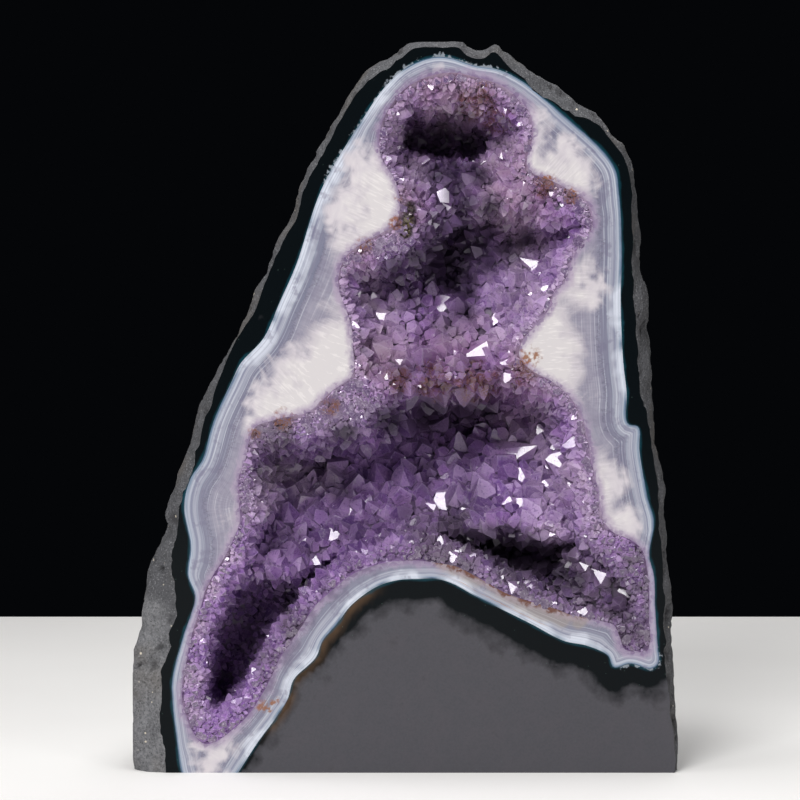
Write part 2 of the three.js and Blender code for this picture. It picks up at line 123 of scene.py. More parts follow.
# The edge of the purple crystals in the sawn face. From here to the mouth the saw went through crystals.
ROOT_OUTLINE = [
    [-83, 12], [-87, 16], [-90.5, 24], [-92, 31], [-91.5, 38.5], [-90, 46.5], [-88.5, 54.5], [-86, 63],
    [-84, 69], [-82, 76], [-78.5, 82.5], [-74, 89.5], [-71, 95.5], [-68, 103.5], [-68.5, 112.5],
    [-68.5, 121.5], [-65.5, 129.5], [-64, 137], [-61.5, 142.5], [-55, 145], [-49, 146.5], [-43, 147.5],
    [-38.5, 149.5], [-35, 152.5], [-31, 156.5], [-27, 159.5], [-23, 162], [-21, 166.5], [-21.5, 174],
    [-22, 182.5], [-24.5, 191], [-27, 198], [-27.5, 203.5], [-25.5, 210.5], [-21.5, 215], [-15, 219],
    [-9.5, 222], [-4.5, 225], [-2.5, 230.5], [-2.5, 236.5], [-4, 242.5], [-6, 246.5], [-9.5, 251.5],
    [-11, 257.5], [-10.5, 263.5], [-9, 268.5], [-5.5, 274.5], [-2, 279], [2.5, 282.5], [9, 285.5],
    [15.5, 287], [21.5, 287], [28, 285.5], [35, 283.5], [41.5, 280.5], [46.5, 276], [50.5, 271],
    [52, 264.5], [51.5, 259], [50, 254.5], [49.5, 250], [51.5, 246.5], [56, 244.5], [61, 242.5],
    [66.5, 239.5], [73, 236], [76, 231], [76.5, 226], [75, 221], [70.5, 215.5], [67.5, 209.5],
    [65.5, 202.5], [60.5, 197], [59.5, 192], [53.5, 184.5], [47.5, 177], [46.5, 171.5], [51, 166],
    [60, 161], [67.5, 154.5], [72, 147], [74.5, 138.5], [76, 130.5], [77.5, 122.5], [79, 116.5],
    [80, 109.5], [81.5, 103.5], [85.5, 99], [92.5, 96], [97, 92], [99, 85], [100, 74.5], [100, 63],
    [100.5, 54.5], [99, 50], [95, 50], [90, 51], [88, 56], [85.5, 61], [81, 62.5], [75, 64], [68.5, 65],
    [62, 67.5], [55.5, 69.5], [48.5, 71.5], [41.5, 74], [35, 77.5], [28, 81.5], [21, 85], [13.5, 86.5],
    [4, 87.5], [-7, 87], [-14.5, 85], [-22.5, 81.5], [-30, 75.5], [-37.5, 68.5], [-42, 61.5],
    [-47.5, 53.5], [-51.5, 47.5], [-55, 40], [-59, 32.5], [-65, 23.5], [-71.5, 17.5], [-78, 13],
]

# Ledges cross the hollow and part it into chambers: x, height and depth behind the face along each lip.
# Under a lip the wall drops back, and then slopes forward down to the next lip.
LEDGES = [
    [[-16.5, 210, 4], [-2, 211, 4], [3, 213.5, 5], [10, 217, 10], [14, 222, 19], [18, 228, 26],
     [26, 230, 25], [29, 229, 10], [41, 229, 7], [54, 227, 6], [70, 224, 5]],
    [[-61.5, 136, 3], [-49.5, 136.5, 3], [-38.5, 138.7, 3], [-27, 142.4, 3], [-16.5, 142, 4],
     [-9, 150, 6], [-4, 154.7, 8], [10, 156, 11], [30, 155, 13], [45, 158, 11], [60, 152, 7], [70, 146, 5]],
    [[-74.5, 76, 12], [-65, 75.5, 16], [-50, 74.5, 22], [-44, 77, 25], [-33, 82.5, 28], [-10, 90, 32],
     [20, 92, 30], [30, 93, 24], [44, 97.5, 16], [50, 93.5, 14], [58.5, 96.5, 12], [63, 91, 11],
     [72, 90.5, 9], [82, 86, 7]],
]
HOLLOW_TOP = [[-90, 283, 5], [90, 283, 5]]
POCKET_DROP = 20  # how far below the last lip the floor pockets are deepest

# How much further back than its lips each chamber lies, at a share of the way down from lip to lip, in mm.
CHAMBERS = [
    [[0, 0], [0.2, 2], [0.28, 6], [0.42, 30], [0.55, 28], [0.75, 13], [1, 0]],
    [[0, 0], [0.05, 30], [0.13, 42], [0.28, 40], [0.42, 28], [0.6, 19], [0.8, 10], [1, 0]],
    [[0, 0], [0.07, 42], [0.2, 66], [0.4, 60], [0.6, 42], [0.8, 20], [1, 0]],
    [[0, 0], [0.15, 26], [0.5, 36], [1, 36]],
]
# The top chamber's cave, whose edge is sharp all round, and its depth.
CAVE_OUTLINE = [
    [-2.5, 260], [-0.5, 265], [0.5, 271], [3, 274], [6.5, 273], [9.5, 271.5], [11.5, 271.5],
    [14.5, 273], [18.5, 275], [22, 275], [26.5, 273], [31, 270], [35.5, 265.5], [35.5, 258],
    [30, 253.5], [19, 254.5], [8, 256], [0.5, 257],
]
CAVE_DEPTH = 60
LINING_DEPTH = [[0, 30], [45, 100], [150, 106], [195, 80], [290, 66]]  # height and depth of the agate

# The hollow's wall leaves the face a little outside the mouth, at a share of the way round it, and is at its
# full depth so many mm further in, at a height.
EDGE_GROWTH = [[0, 3.2], [0.12, 3], [0.17, 2], [0.7, 1.6], [0.765, 2.6], [0.78, 4.2], [0.84, 4.2],
               [0.87, 1.2], [1, 1.2]]
WALL_WIDTH = [[0, 3], [80, 2.6], [90, 2.8], [100, 8], [115, 16], [143, 17], [151, 11], [200, 11],
              [245, 9], [283, 7]]

HEART = np.array([2.0, 70.0])  # the stone's middle, which its back tapers towards
BASALT = 16  # least stone behind the lining
LINING = 5  # least agate behind the crust
CRUST = 5  # quartz that the crystals stand on
SEAT_WALL = 20  # mm in from its edge, where the lining is at its full depth
LIP_GROWTH = 5.5  # how far below a lip its crystals hang
SAWN_CRUST = 2  # quartz behind the sawn crystals
BACK_SLOPE = 14  # how steeply the crust's back leaves the face
BACK_CELL = 2.5  # mm between the points of the crust's back
LEAST_BACK = 1.5  # least quartz behind the crystals' wall, but at the crust's very edge
RING_DEPTH = 2.2  # how far the crystals round the mouth stand behind the face
RING_WIDTH = (0.2, 1.4)  # mm inside the crust's edge over which the ring gets that deep
RING_HEIGHTS = (96, 108)  # heights over which the ring gets shallower
RING_LOSS = 0.45  # the share of its depth that it loses
EDGE_WIDTH = (0, 0.9)  # mm inside the crust's edge over which everything starts
CALM_WIDTH = (3, 10)  # mm inside the hollow's edge over which its wall starts to wander
CAVE_WIDTH = (-4, -1)  # mm inside the cave's edge over which it gets deep
POCKET_END = [[62, 70], [73, 13]]  # x and depth where the right pocket runs out
POCKET_TOP = (88, 94)  # heights above which it doesn't run out
CORNER_DEPTH = 9  # how far behind the sawn face the stone is widest
DOME_SIDE, DOME_BACK = 2.6, 2.4  # powers of the dome's section
OUTLINE_STEPS = 8  # points of a smooth outline for each one listed


def linear(hex_colour):
    """An sRGB hex colour as linear red, green, blue and alpha."""
    parts = [int(hex_colour[i:i + 2], 16) / 255 for i in (1, 3, 5)]
    return tuple(p / 12.92 if p < 0.04045 else ((p + 0.055) / 1.055) ** 2.4 for p in parts) + (1.0,)


def colour_property(name, description, hex_colour):
    return FloatVectorProperty(
        name=name, description=description, subtype="COLOR", size=4, min=0, max=1, default=linear(hex_colour)
    )


def length_property(name, description, millimetres):
    return FloatProperty(name=name, description=description, unit="LENGTH", min=0, default=millimetres * MM)


class StoneSettings(bpy.types.PropertyGroup):
    lump_height: length_property("Lump height", "Height of the lumps on the broken outside", 1.1)
    pit_depth: length_property("Pit depth", "Depth of the gas bubbles that the break opened", 1.6)
    pit_count: IntProperty(name="Pits", description="Number of gas bubbles that show", default=1500, min=0)
    skin: colour_property("Broken stone", "Colour of the rough outside", "#4b4b4f")
    honed: colour_property("Honed stone", "Colour of the sawn face under the arch", "#504f54")
    margin: colour_property("Margin", "Colour of the dense stone next to the agate", "#0a0f12")


class AgateSettings(bpy.types.PropertyGroup):
    milk: colour_property("Milky quartz", "Colour of the white quartz inside the bands", "#cac3c9")
    lavender: colour_property("Lavender quartz", "Colour of the quartz where the crystals root", "#a290aa")
    rust: colour_property("Rust", "Colour of the iron stains", "#8a5226")
    fibre_width: length_property("Fibre width", "Width of the fibres in the milky quartz", 0.9)


class CrystalSettings(bpy.types.PropertyGroup):
    large: length_property("Large points", "Radius of the large crystals in the chambers", 4.8)
    medium: length_property("Medium points", "Radius of the crystals between the large ones", 2.9)
    small: length_property("Small points", "Radius of the crystals near the mouth", 1.8)
    sawn: length_property("Sawn points", "Radius of the crystals that the saw went through", 1.05)
    seed: IntProperty(name="Seed", description="Which scatter of crystals grows", default=5)
    body: colour_property("Amethyst", "Colour of the crystals' bodies", "#c69bdc")
    tips: colour_property("Tips", "Colour of the crystals' ends, where the iron is", "#a375c2")
    roots: colour_property("Roots", "Colour of the crystals' feet, where the quartz is pale", "#dfc6e5")
    # Laid on the crystals next to the crust's edge, and as painted light on the lit parts of the wall.
    pale: colour_property("Pale crystals", "Colour of the crystals in the lit parts of the wall", "#dcc4de")
    cut: colour_property("Sawn crystals", "Colour of the crystals that the saw went through", "#77667f")


class StageSettings(bpy.types.PropertyGroup):
    floor: colour_property("Floor", "Colour of the floor", "#f6f4f2")
    backdrop: colour_property("Backdrop", "Colour of the dark behind the stone", "#050608")
    key: FloatProperty(name="Key light", description="Power of the main light", unit="POWER", default=20)
    lens: FloatProperty(name="Lens", description="Focal length of the camera, in mm", default=120, min=10)


class CathedralSettings(bpy.types.PropertyGroup):
    stone: PointerProperty(type=StoneSettings)
    agate: PointerProperty(type=AgateSettings)
    crystals: PointerProperty(type=CrystalSettings)
    stage: PointerProperty(type=StageSettings)


# Shapes of the stone, as functions of a place on its face


def smooth_outline(points):
    """A closed smooth curve through the listed points, the same one that the solids follow."""
    nodes = np.array(points, float)
    before, after, later = (np.roll(nodes, shift, 0) for shift in (1, -1, -2))
    reach = [np.linalg.norm(b[:, :2] - a[:, :2], axis=1) ** 0.5 for a, b in
             ((before, nodes), (nodes, after), (after, later))]
    gap0, gap1, gap2 = (r[:, None] for r in reach)
    leave = ((nodes - before) / gap0 - (after - before) / (gap0 + gap1) + (after - nodes) / gap1) * gap1
    arrive = ((after - nodes) / gap1 - (later - nodes) / (gap1 + gap2) + (later - after) / gap2) * gap1
    curve = []
    for t in np.arange(OUTLINE_STEPS) / OUTLINE_STEPS:
        curve.append(nodes + t * leave + t * t * (3 * (after - nodes) - 2 * leave - arrive)
                     + t ** 3 * (2 * (nodes - after) + leave + arrive))
    return np.stack(curve, 1).reshape(-1, nodes.shape[1])


def evenly(outline, count):
    """The same closed curve with points the same distance apart."""
    closed = np.vstack([outline, outline[:1]])
    run = np.concatenate([[0], np.cumsum(np.linalg.norm(np.diff(closed[:, :2], axis=0), axis=1))])
    at = np.arange(count) / count * run[-1]
    return np.stack([np.interp(at, run, closed[:, k]) for k in range(closed.shape[1])], 1)


def to_outline(outline, x, z):
    """Distance from places on the face to an outline, positive inside it, and how far along it that is."""
    nearest = np.full(x.shape, np.inf)
    along = np.zeros(x.shape)
    inside = np.zeros(x.shape, bool)
    run = 0.0
    for (ax, az), (bx, bz) in zip(outline[:, :2], np.roll(outline[:, :2], -1, 0)):
        ex, ez = bx - ax, bz - az
        length = np.hypot(ex, ez)
        share = np.clip(((x - ax) * ex + (z - az) * ez) / length ** 2, 0, 1)
        away = np.hypot(x - ax - share * ex, z - az - share * ez)
        closer = away < nearest
        nearest = np.where(closer, away, nearest)
        along = np.where(closer, run + share * length, along)
        if ez:
            inside ^= ((az > z) != (bz > z)) & (x < ax + ex * (z - az) / ez)
        run += length
    return np.where(inside, nearest, -nearest), along


def smoothstep(value, low, high):
    share = np.clip((value - low) / (high - low), 0, 1)
    return share * share * (3 - 2 * share)


def noise(points, size, octaves=1, seed=0):
    """Smooth noise from about -1 to 1 with lumps of a size in mm, and finer ones on them."""
    total, height = 0, 1.0
    for octave in range(octaves):
        cell = points / size
        base = np.floor(cell).astype(np.int64)
        part = cell - base
        part = part * part * (3 - 2 * part)
        layer = np.zeros(len(points))
        for corner in product((0, 1), repeat=3):
            weight = np.prod(np.where(corner, part, 1 - part), axis=1)
            x, y, z = (base + corner).T
            mixed = (x * 73856093) ^ (y * 19349663) ^ (z * 83492791) ^ ((seed + octave) * 2654435761)
            mixed = (mixed ^ (mixed >> 13)) * 1274126177 & 0xFFFFFFFF
            layer += weight * ((mixed ^ (mixed >> 16)) % 65536 / 32767.5 - 1)
        total = total + height * layer
        size, height = size / 2.1, height / 2
    return total


STONE = smooth_outline(STONE_OUTLINE)
LINING_EDGE = evenly(smooth_outline(LINING_OUTLINE), 760)
ROOT_EDGE = evenly(smooth_outline(ROOT_OUTLINE), 700)
MOUTH_EDGE = evenly(smooth_outline(MOUTH_OUTLINE), 500)
CAVE_EDGE = smooth_outline(CAVE_OUTLINE)
MOUTH_AROUND = np.hypot(*(MOUTH_EDGE - np.roll(MOUTH_EDGE, 1, 0)).T).sum()
LIP_WANDER, LIP_LUMP = 2.2, 12  # how far the ledges' lips wander up and down, and over what length
WALL_WANDER, WALL_LUMP = 4.0, 18  # the same for the wall's depth


def dome_share(depth):
    return (1 - (depth / DEPTH) ** DOME_BACK) ** (1 / DOME_SIDE)


def dome_depth(share):
    return DEPTH * np.maximum(0, 1 - share ** DOME_SIDE) ** (1 / DOME_BACK)


def share_of_stone(x, z):
    """How far a place on the face lies from the heart, as a share of the way to the stone's outline."""
    rays = STONE[:, :2] - HEART
    turn = np.arctan2(rays[:, 1], rays[:, 0])
    reach = np.interp(np.arctan2(z - HEART[1], x - HEART[0]), turn, np.hypot(*rays.T), period=2 * pi)
    return np.hypot(x - HEART[0], z - HEART[1]) / reach


def wall_share(inside, width):
    """A hollow deepens from its edge over a width."""
    return 1 - (1 - np.clip(inside / width, 0, 1)) ** 2


def chamber_depth(x, z):
    """Depth of the chambers at places on the face, before the hollow's walls close in."""
    lips = [np.array(lip).T for lip in [HOLLOW_TOP] + LEDGES]
    heights = [np.interp(x, lip[0], lip[1]) for lip in lips]
    depths = [np.interp(x, lip[0], lip[2]) for lip in lips]
    heights.append(heights[-1] - POCKET_DROP)
    depths.append(depths[-1])
    depth = depths[-1] + CHAMBERS[-1][-1][1]
    for room in reversed(range(len(CHAMBERS))):
        share = (heights[room] - z) / (heights[room] - heights[room + 1])
        own = depths[room] + share * (depths[room + 1] - depths[room])
        own = own + np.interp(share, *np.array(CHAMBERS[room]).T)
        depth = np.where(z > heights[room + 1], own, depth)
    return depth


def lining_depth(x, z):
    """Depth behind the face of the basalt's inner surface, where the agate starts."""
    own = wall_share(to_outline(LINING_EDGE, x, z)[0], SEAT_WALL) * np.interp(z, *np.array(LINING_DEPTH).T)
    return np.minimum(own, dome_depth(np.minimum(share_of_stone(x, z), 1)) - BASALT)


def hollow_depth(x, z):
    """Depth behind the face of the wall that the crystals stand on."""
    spot = np.stack([x, 0 * x, z], 1)
    inside, along = to_outline(MOUTH_EDGE, x, z)
    inside = inside + np.interp(along / MOUTH_AROUND, *np.array(EDGE_GROWTH).T)
    calm = smoothstep(inside, *CALM_WIDTH)
    wander = calm * LIP_WANDER * noise(spot, LIP_LUMP, 2, seed=3)
    room = chamber_depth(x, z + wander - LIP_GROWTH) + calm * WALL_WANDER * noise(spot, WALL_LUMP, 2, seed=8)
    room = np.maximum(room, CAVE_DEPTH * smoothstep(to_outline(CAVE_EDGE, x, z)[0], *CAVE_WIDTH))
    room = np.minimum(room, np.interp(x, *np.array(POCKET_END).T) + 100 * smoothstep(z, *POCKET_TOP))
    own = wall_share(inside, np.interp(z, *np.array(WALL_WIDTH).T)) * room
    ring = to_outline(ROOT_EDGE, x, z)[0]
    least = RING_DEPTH * (1 - RING_LOSS * smoothstep(z, *RING_HEIGHTS))
    own = np.maximum(own, least * smoothstep(ring, *RING_WIDTH)) * smoothstep(ring, *EDGE_WIDTH)
    return np.clip(own, 0, np.maximum(lining_depth(x, z) - LINING - CRUST, 0))


def crust_back(x, z):
    """Depth behind the face where crust meets lining."""
    steps = [(0, 0), (CRUST, 0), (-CRUST, 0), (0, CRUST), (0, -CRUST)]
    around = [hollow_depth(x + dx, z + dz) for dx, dz in steps]
    inside = to_outline(ROOT_EDGE, x, z)[0]
    own = np.minimum(np.max(around, axis=0) + CRUST, BACK_SLOPE * np.maximum(inside, 0))
    own = np.maximum(own, around[0] + LEAST_BACK * smoothstep(inside, 0, 1))
    return np.clip(own, 0, np.maximum(lining_depth(x, z) - LINING, SAWN_CRUST * smoothstep(inside, 0, 2)))


# Meshes

JITTER = 0.2  # how far the points of a filling lie off their grid, as a share of its cell
CLEARANCE = 0.55  # how far they stay from the loops, as a share of its cell
SAME_PLACE = 0.001  # mm, within which points are merged


def filled(loops, cell, seed=0):
    """Points (x, z) and triangles that fill the space between closed loops, on a loose grid of its own."""
    outer, holes = loops[0], loops[1:]
    low, high = outer.min(0), outer.max(0)
    columns, rows = np.ceil((high - low) / cell).astype(int)
    grid = np.stack(np.meshgrid(np.arange(columns), np.arange(rows)), -1).reshape(-1, 2).astype(float)
    grid[:, 0] += 0.5 * (grid[:, 1] % 2)
    grid = low + cell * grid + np.random.default_rng(seed).uniform(-JITTER, JITTER, grid.shape) * cell
    room = np.min([to_outline(outer, *grid.T)[0]] + [-to_outline(hole, *grid.T)[0] for hole in holes], axis=0)
    points = np.vstack(loops + [grid[room > CLEARANCE * cell]])
    edges, start = [], 0
    for loop in loops:
        count = len(loop)
        edges += [(start + i, start + (i + 1) % count) for i in range(count)]
        start += count
    made = delaunay_2d_cdt([Vector(p) for p in points], edges, [], 1, 1e-6)
    spots = np.array([tuple(v) for v in made[0]])
    faces = np.array(made[2])
    middle = spots[faces].mean(1)
    keep = to_outline(outer, *middle.T)[0] > 0
    for hole in holes:
        keep &= to_outline(hole, *middle.T)[0] < 0
    faces, middle = faces[keep], middle[keep]

    # A triangle with no corner off the loops gets a point in its middle, which can then be moved back.
    ears = (faces < start).all(axis=1)
    a, b, c = faces[ears].T
    tip = len(spots) + np.arange(len(a))
    split = [np.stack(side, 1) for side in ((a, b, tip), (b, c, tip), (c, a, tip))]
    return np.vstack([spots, middle[ears]]), np.vstack([faces[~ears]] + split)


def behind_face(spots, depth):
    """Places on the sawn face (x, z) as points that lie behind it."""
    return np.stack([spots[:, 0], FACE_Y + depth, spots[:, 1]], 1)


def mesh_of(name, parts):
    """One mesh of parts, each points in mm with faces and a material number."""
    mesh = bpy.data.meshes.new(name)
    points, faces, slots = [], [], []
    for spots, sides, slot in parts:
        start = sum(map(len, points))
        points.append(spots)
        faces += [tuple(start + int(i) for i in side) for side in sides]
        slots += [slot] * len(sides)
    mesh.from_pydata((np.vstack(points) * MM).tolist(), [], faces)
    mesh.polygons.foreach_set("material_index", slots)
    return mesh


def positions(mesh):
    flat = np.empty(3 * len(mesh.vertices), np.float32)
    mesh.vertices.foreach_get("co", flat)
    return flat.reshape(-1, 3).astype(float) / MM


def move_to(mesh, points):
    mesh.vertices.foreach_set("co", (points * MM).astype(np.float32).ravel())
    mesh.update()


def give(mesh, name, values):
    """Keeps a number for each point of a mesh, for its material to read."""
    layer = mesh.attributes.get(name) or mesh.attributes.new(name, "FLOAT", "POINT")
    layer.data.foreach_set("value", np.asarray(values, np.float32))


def cut_flat(bm, place, away, slot):
    """Cuts off what lies beyond a plane, and closes each cut with a flat face."""
    geometry = bm.verts[:] + bm.edges[:] + bm.faces[:]
    bmesh.ops.bisect_plane(bm, geom=geometry, plane_co=place, plane_no=away, clear_outer=True)
    open_edges = [edge for edge in bm.edges if edge.is_boundary]
    return bmesh.ops.edgeloop_fill(bm, edges=open_edges, mat_nr=slot)["faces"]


def closed(mesh, base_slot=None):
    """Merges the parts of a mesh, cuts it flat underneath if told to, and turns its faces outwards."""
    bm = bmesh.new()
    bm.from_mesh(mesh)
    bmesh.ops.remove_doubles(bm, verts=bm.verts, dist=SAME_PLACE * MM)
    if base_slot is not None:
        bmesh.ops.triangulate(bm, faces=cut_flat(bm, (0, 0, 0), (0, 0, -1), base_slot))
    bmesh.ops.recalc_face_normals(bm, faces=bm.faces)
    bm.to_mesh(mesh)
    bm.free()
    return mesh


def piece(name, mesh, materials, node):
    """A finished piece that stands for a CAD node."""
    for material in materials:
        if material.name not in mesh.materials:
            mesh.materials.append(material)
    thing = bpy.data.objects.new(name, mesh)
    bpy.context.scene.collection.objects.link(thing)
    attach(thing, "root")
    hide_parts(node)


# Materials

QUARTZ_IOR = 1.544


def plug(tree, node, inputs):
    """Sets a node's inputs, by name or number, or links them to another node or its socket."""
    for key, value in inputs.items():
        if isinstance(value, bpy.types.Node):
            value = next(socket for socket in value.outputs if socket.enabled)
        if isinstance(value, bpy.types.NodeSocket):
            tree.links.new(value, node.inputs[key])
        else:
            node.inputs[key].default_value = value


def add(tree, kind, inputs=None, stops=None, **settings):
    """Adds a node with its settings, its inputs and the stops of a ramp."""
    node = tree.nodes.new(kind)
    for key, value in settings.items():
        setattr(node, key, value)
    plug(tree, node, inputs or {})
    if stops:
        elements = node.color_ramp.elements
        while len(elements) < len(stops):
            elements.new(1.0)
        for element, (place, colour) in zip(elements, stops):
            element.position = place
            element.color = linear(colour) if isinstance(colour, str) else (colour, colour, colour, 1)
    return node


def new_material(name):
    """A material with its tree, its shader and its object coordinates."""
    material = bpy.data.materials.new(name)
    material.use_nodes = True
    tree = material.node_tree
    place = add(tree, "ShaderNodeTexCoord").outputs["Object"]
    return material, tree, tree.nodes["Principled BSDF"], place


def painted(tree, ground, coats):
    """Colours laid one over the other. A coat is a value, low, high, a share and a colour: it covers nothing
    where the value is low, and the share where it is high."""
    for value, low, high, share, colour in coats:
        cover = add(tree, "ShaderNodeMapRange", {0: value, 1: low, 2: high, 3: 0.0, 4: share})
        mixed = add(tree, "ShaderNodeMix", {0: cover, 6: ground, 7: colour}, data_type="RGBA")
        ground = mixed.outputs[2]
    return ground


def given(tree, names):
    """The numbers that a mesh keeps for its material."""
    return [add(tree, "ShaderNodeAttribute", attribute_name=name).outputs["Fac"] for name in names.split()]


def per_metre(millimetres):
    """The scale of a texture whose pattern has that size."""
    return 1 / (millimetres * MM)


def broken_basalt(settings):
    """Basalt, broken: grey lava of fine grain with gas pits, brown where it weathered. Matt and dusty."""
    material, tree, shader, place = new_material("basalt_broken")
    pits, fresh = given(tree, "pit fresh")
    grain = add(tree, "ShaderNodeTexNoise", {"Vector": place, "Scale": per_metre(1.3), "Detail": 5})
    patch = add(tree, "ShaderNodeTexNoise", {"Vector": place, "Scale": per_metre(24), "Detail": 4})
    crumb = add(tree, "ShaderNodeTexVoronoi", {"Vector": place, "Scale": per_metre(2.6)})
    far = add(tree, "ShaderNodeMath", {0: crumb.outputs["Color"], 1: -1.0, 2: 1.0}, operation="MULTIPLY_ADD")
    fleck = add(tree, "ShaderNodeMath", {0: far, 1: crumb.outputs["Distance"]})
    fine = add(tree, "ShaderNodeTexNoise", {"Vector": place, "Scale": per_metre(0.7), "Detail": 2})
    colour = painted(tree, settings.skin, [
        (fresh, 0.1, 0.7, 1.0, linear("#77777a")),
        (grain, 0.62, 0.38, 0.6, linear("#454649")),
        (patch, 0.52, 0.68, 0.35, linear("#5b5246")),
        (fine, 0.42, 0.3, 0.8, linear("#2a2b2d")),
        (fine, 0.58, 0.72, 0.6, linear("#8b8b8e")),
        (pits, 0.2, 0.9, 0.75, linear("#28272a")),
        (fleck, 0.34, 0.24, 1.0, linear("#cfc5b4")),
    ])
    relief = add(tree, "ShaderNodeBump", {"Height": grain, "Distance": 0.6 * MM, "Strength": 0.8})
    plug(tree, shader, {"Base Color": colour, "Roughness": 0.8, "Normal": relief})
    return material


def honed_basalt(settings):
    """Basalt, sawn and honed: dense and dark. Next to the agate silica made it glassy and near black."""
    material, tree, shader, place = new_material("basalt_honed")
    dark, out, brown, frost = given(tree, "margin from_agate brown frost")
    grain = add(tree, "ShaderNodeTexNoise", {"Vector": place, "Scale": per_metre(0.8), "Detail": 3})
    cloud = add(tree, "ShaderNodeTexNoise", {"Vector": place, "Scale": per_metre(9), "Detail": 5})
    fine = add(tree, "ShaderNodeTexNoise", {"Vector": place, "Scale": per_metre(1.5), "Detail": 4})
    ragged = add(tree, "ShaderNodeMath", {0: cloud, 1: 1.3, 2: -0.65}, operation="MULTIPLY_ADD")
    edge = add(tree, "ShaderNodeMath", {0: dark, 1: ragged})
    bloom = add(tree, "ShaderNodeMath", {0: cloud, 1: 3.0, 2: out}, operation="MULTIPLY_ADD")
    bloom = add(tree, "ShaderNodeMath", {0: bloom, 1: 0.2}, operation="MULTIPLY")
    lace = add(tree, "ShaderNodeMath", {0: fine, 1: 2.4, 2: -0.5}, operation="MULTIPLY_ADD")
    lace = add(tree, "ShaderNodeMath", {0: frost, 1: lace}, operation="MULTIPLY")
    spark = add(tree, "ShaderNodeTexVoronoi", {"Vector": place, "Scale": per_metre(3.2)})
    colour = painted(tree, settings.honed, [
        (grain, 0.6, 0.3, 0.3, linear("#414146")),
        (cloud, 0.45, 0.75, 0.35, linear("#565257")),
        (edge, 0.2, 0.75, 1.0, settings.margin),
        (brown, 0.0, 1.0, 0.85, linear("#5b4634")),
        (bloom, 0.5, 0.3, 0.7, linear("#174350")),
        (lace, 0.45, 0.65, 0.8, linear("#8f96a0")),
        (spark, 0.06, 0.035, 0.7, linear("#50665f")),
    ])
    rough = add(tree, "ShaderNodeMapRange", {0: edge, 1: 0.3, 2: 0.7, 3: 0.5, 4: 0.15})
    plug(tree, shader, {"Base Color": colour, "Roughness": rough, "Specular IOR Level": 0.08})
    return material


def sawn_base(settings):
    """Basalt, sawn and left: matt grey with a fine grain."""
    material, tree, shader, place = new_material("basalt_sawn")
    grain = add(tree, "ShaderNodeTexNoise", {"Vector": place, "Scale": per_metre(1.2), "Detail": 4})
    colour = painted(tree, settings.honed, [(grain, 0.7, 0.3, 0.6, linear("#3d3d41"))])
    plug(tree, shader, {"Base Color": colour, "Roughness": 0.8})
    return material


# Bands of the agate: mm from the basalt, where the lining is thick, and colour.
BAND_SPAN = 12
BANDS = [
    (0, "#1d3040"), (0.4, "#4f6a84"), (0.9, "#8391a5"), (1.5, "#a6abb9"), (2.3, "#a9adbb"), (2.8, "#82859a"),
    (3.3, "#9192a3"), (4.1, "#a3a5b3"), (4.9, "#9c9dac"), (5.5, "#979aa9"), (6, "#7d7d90"), (8.5, "#7e7d90"),
    (12, "#8f8c9c"),
]


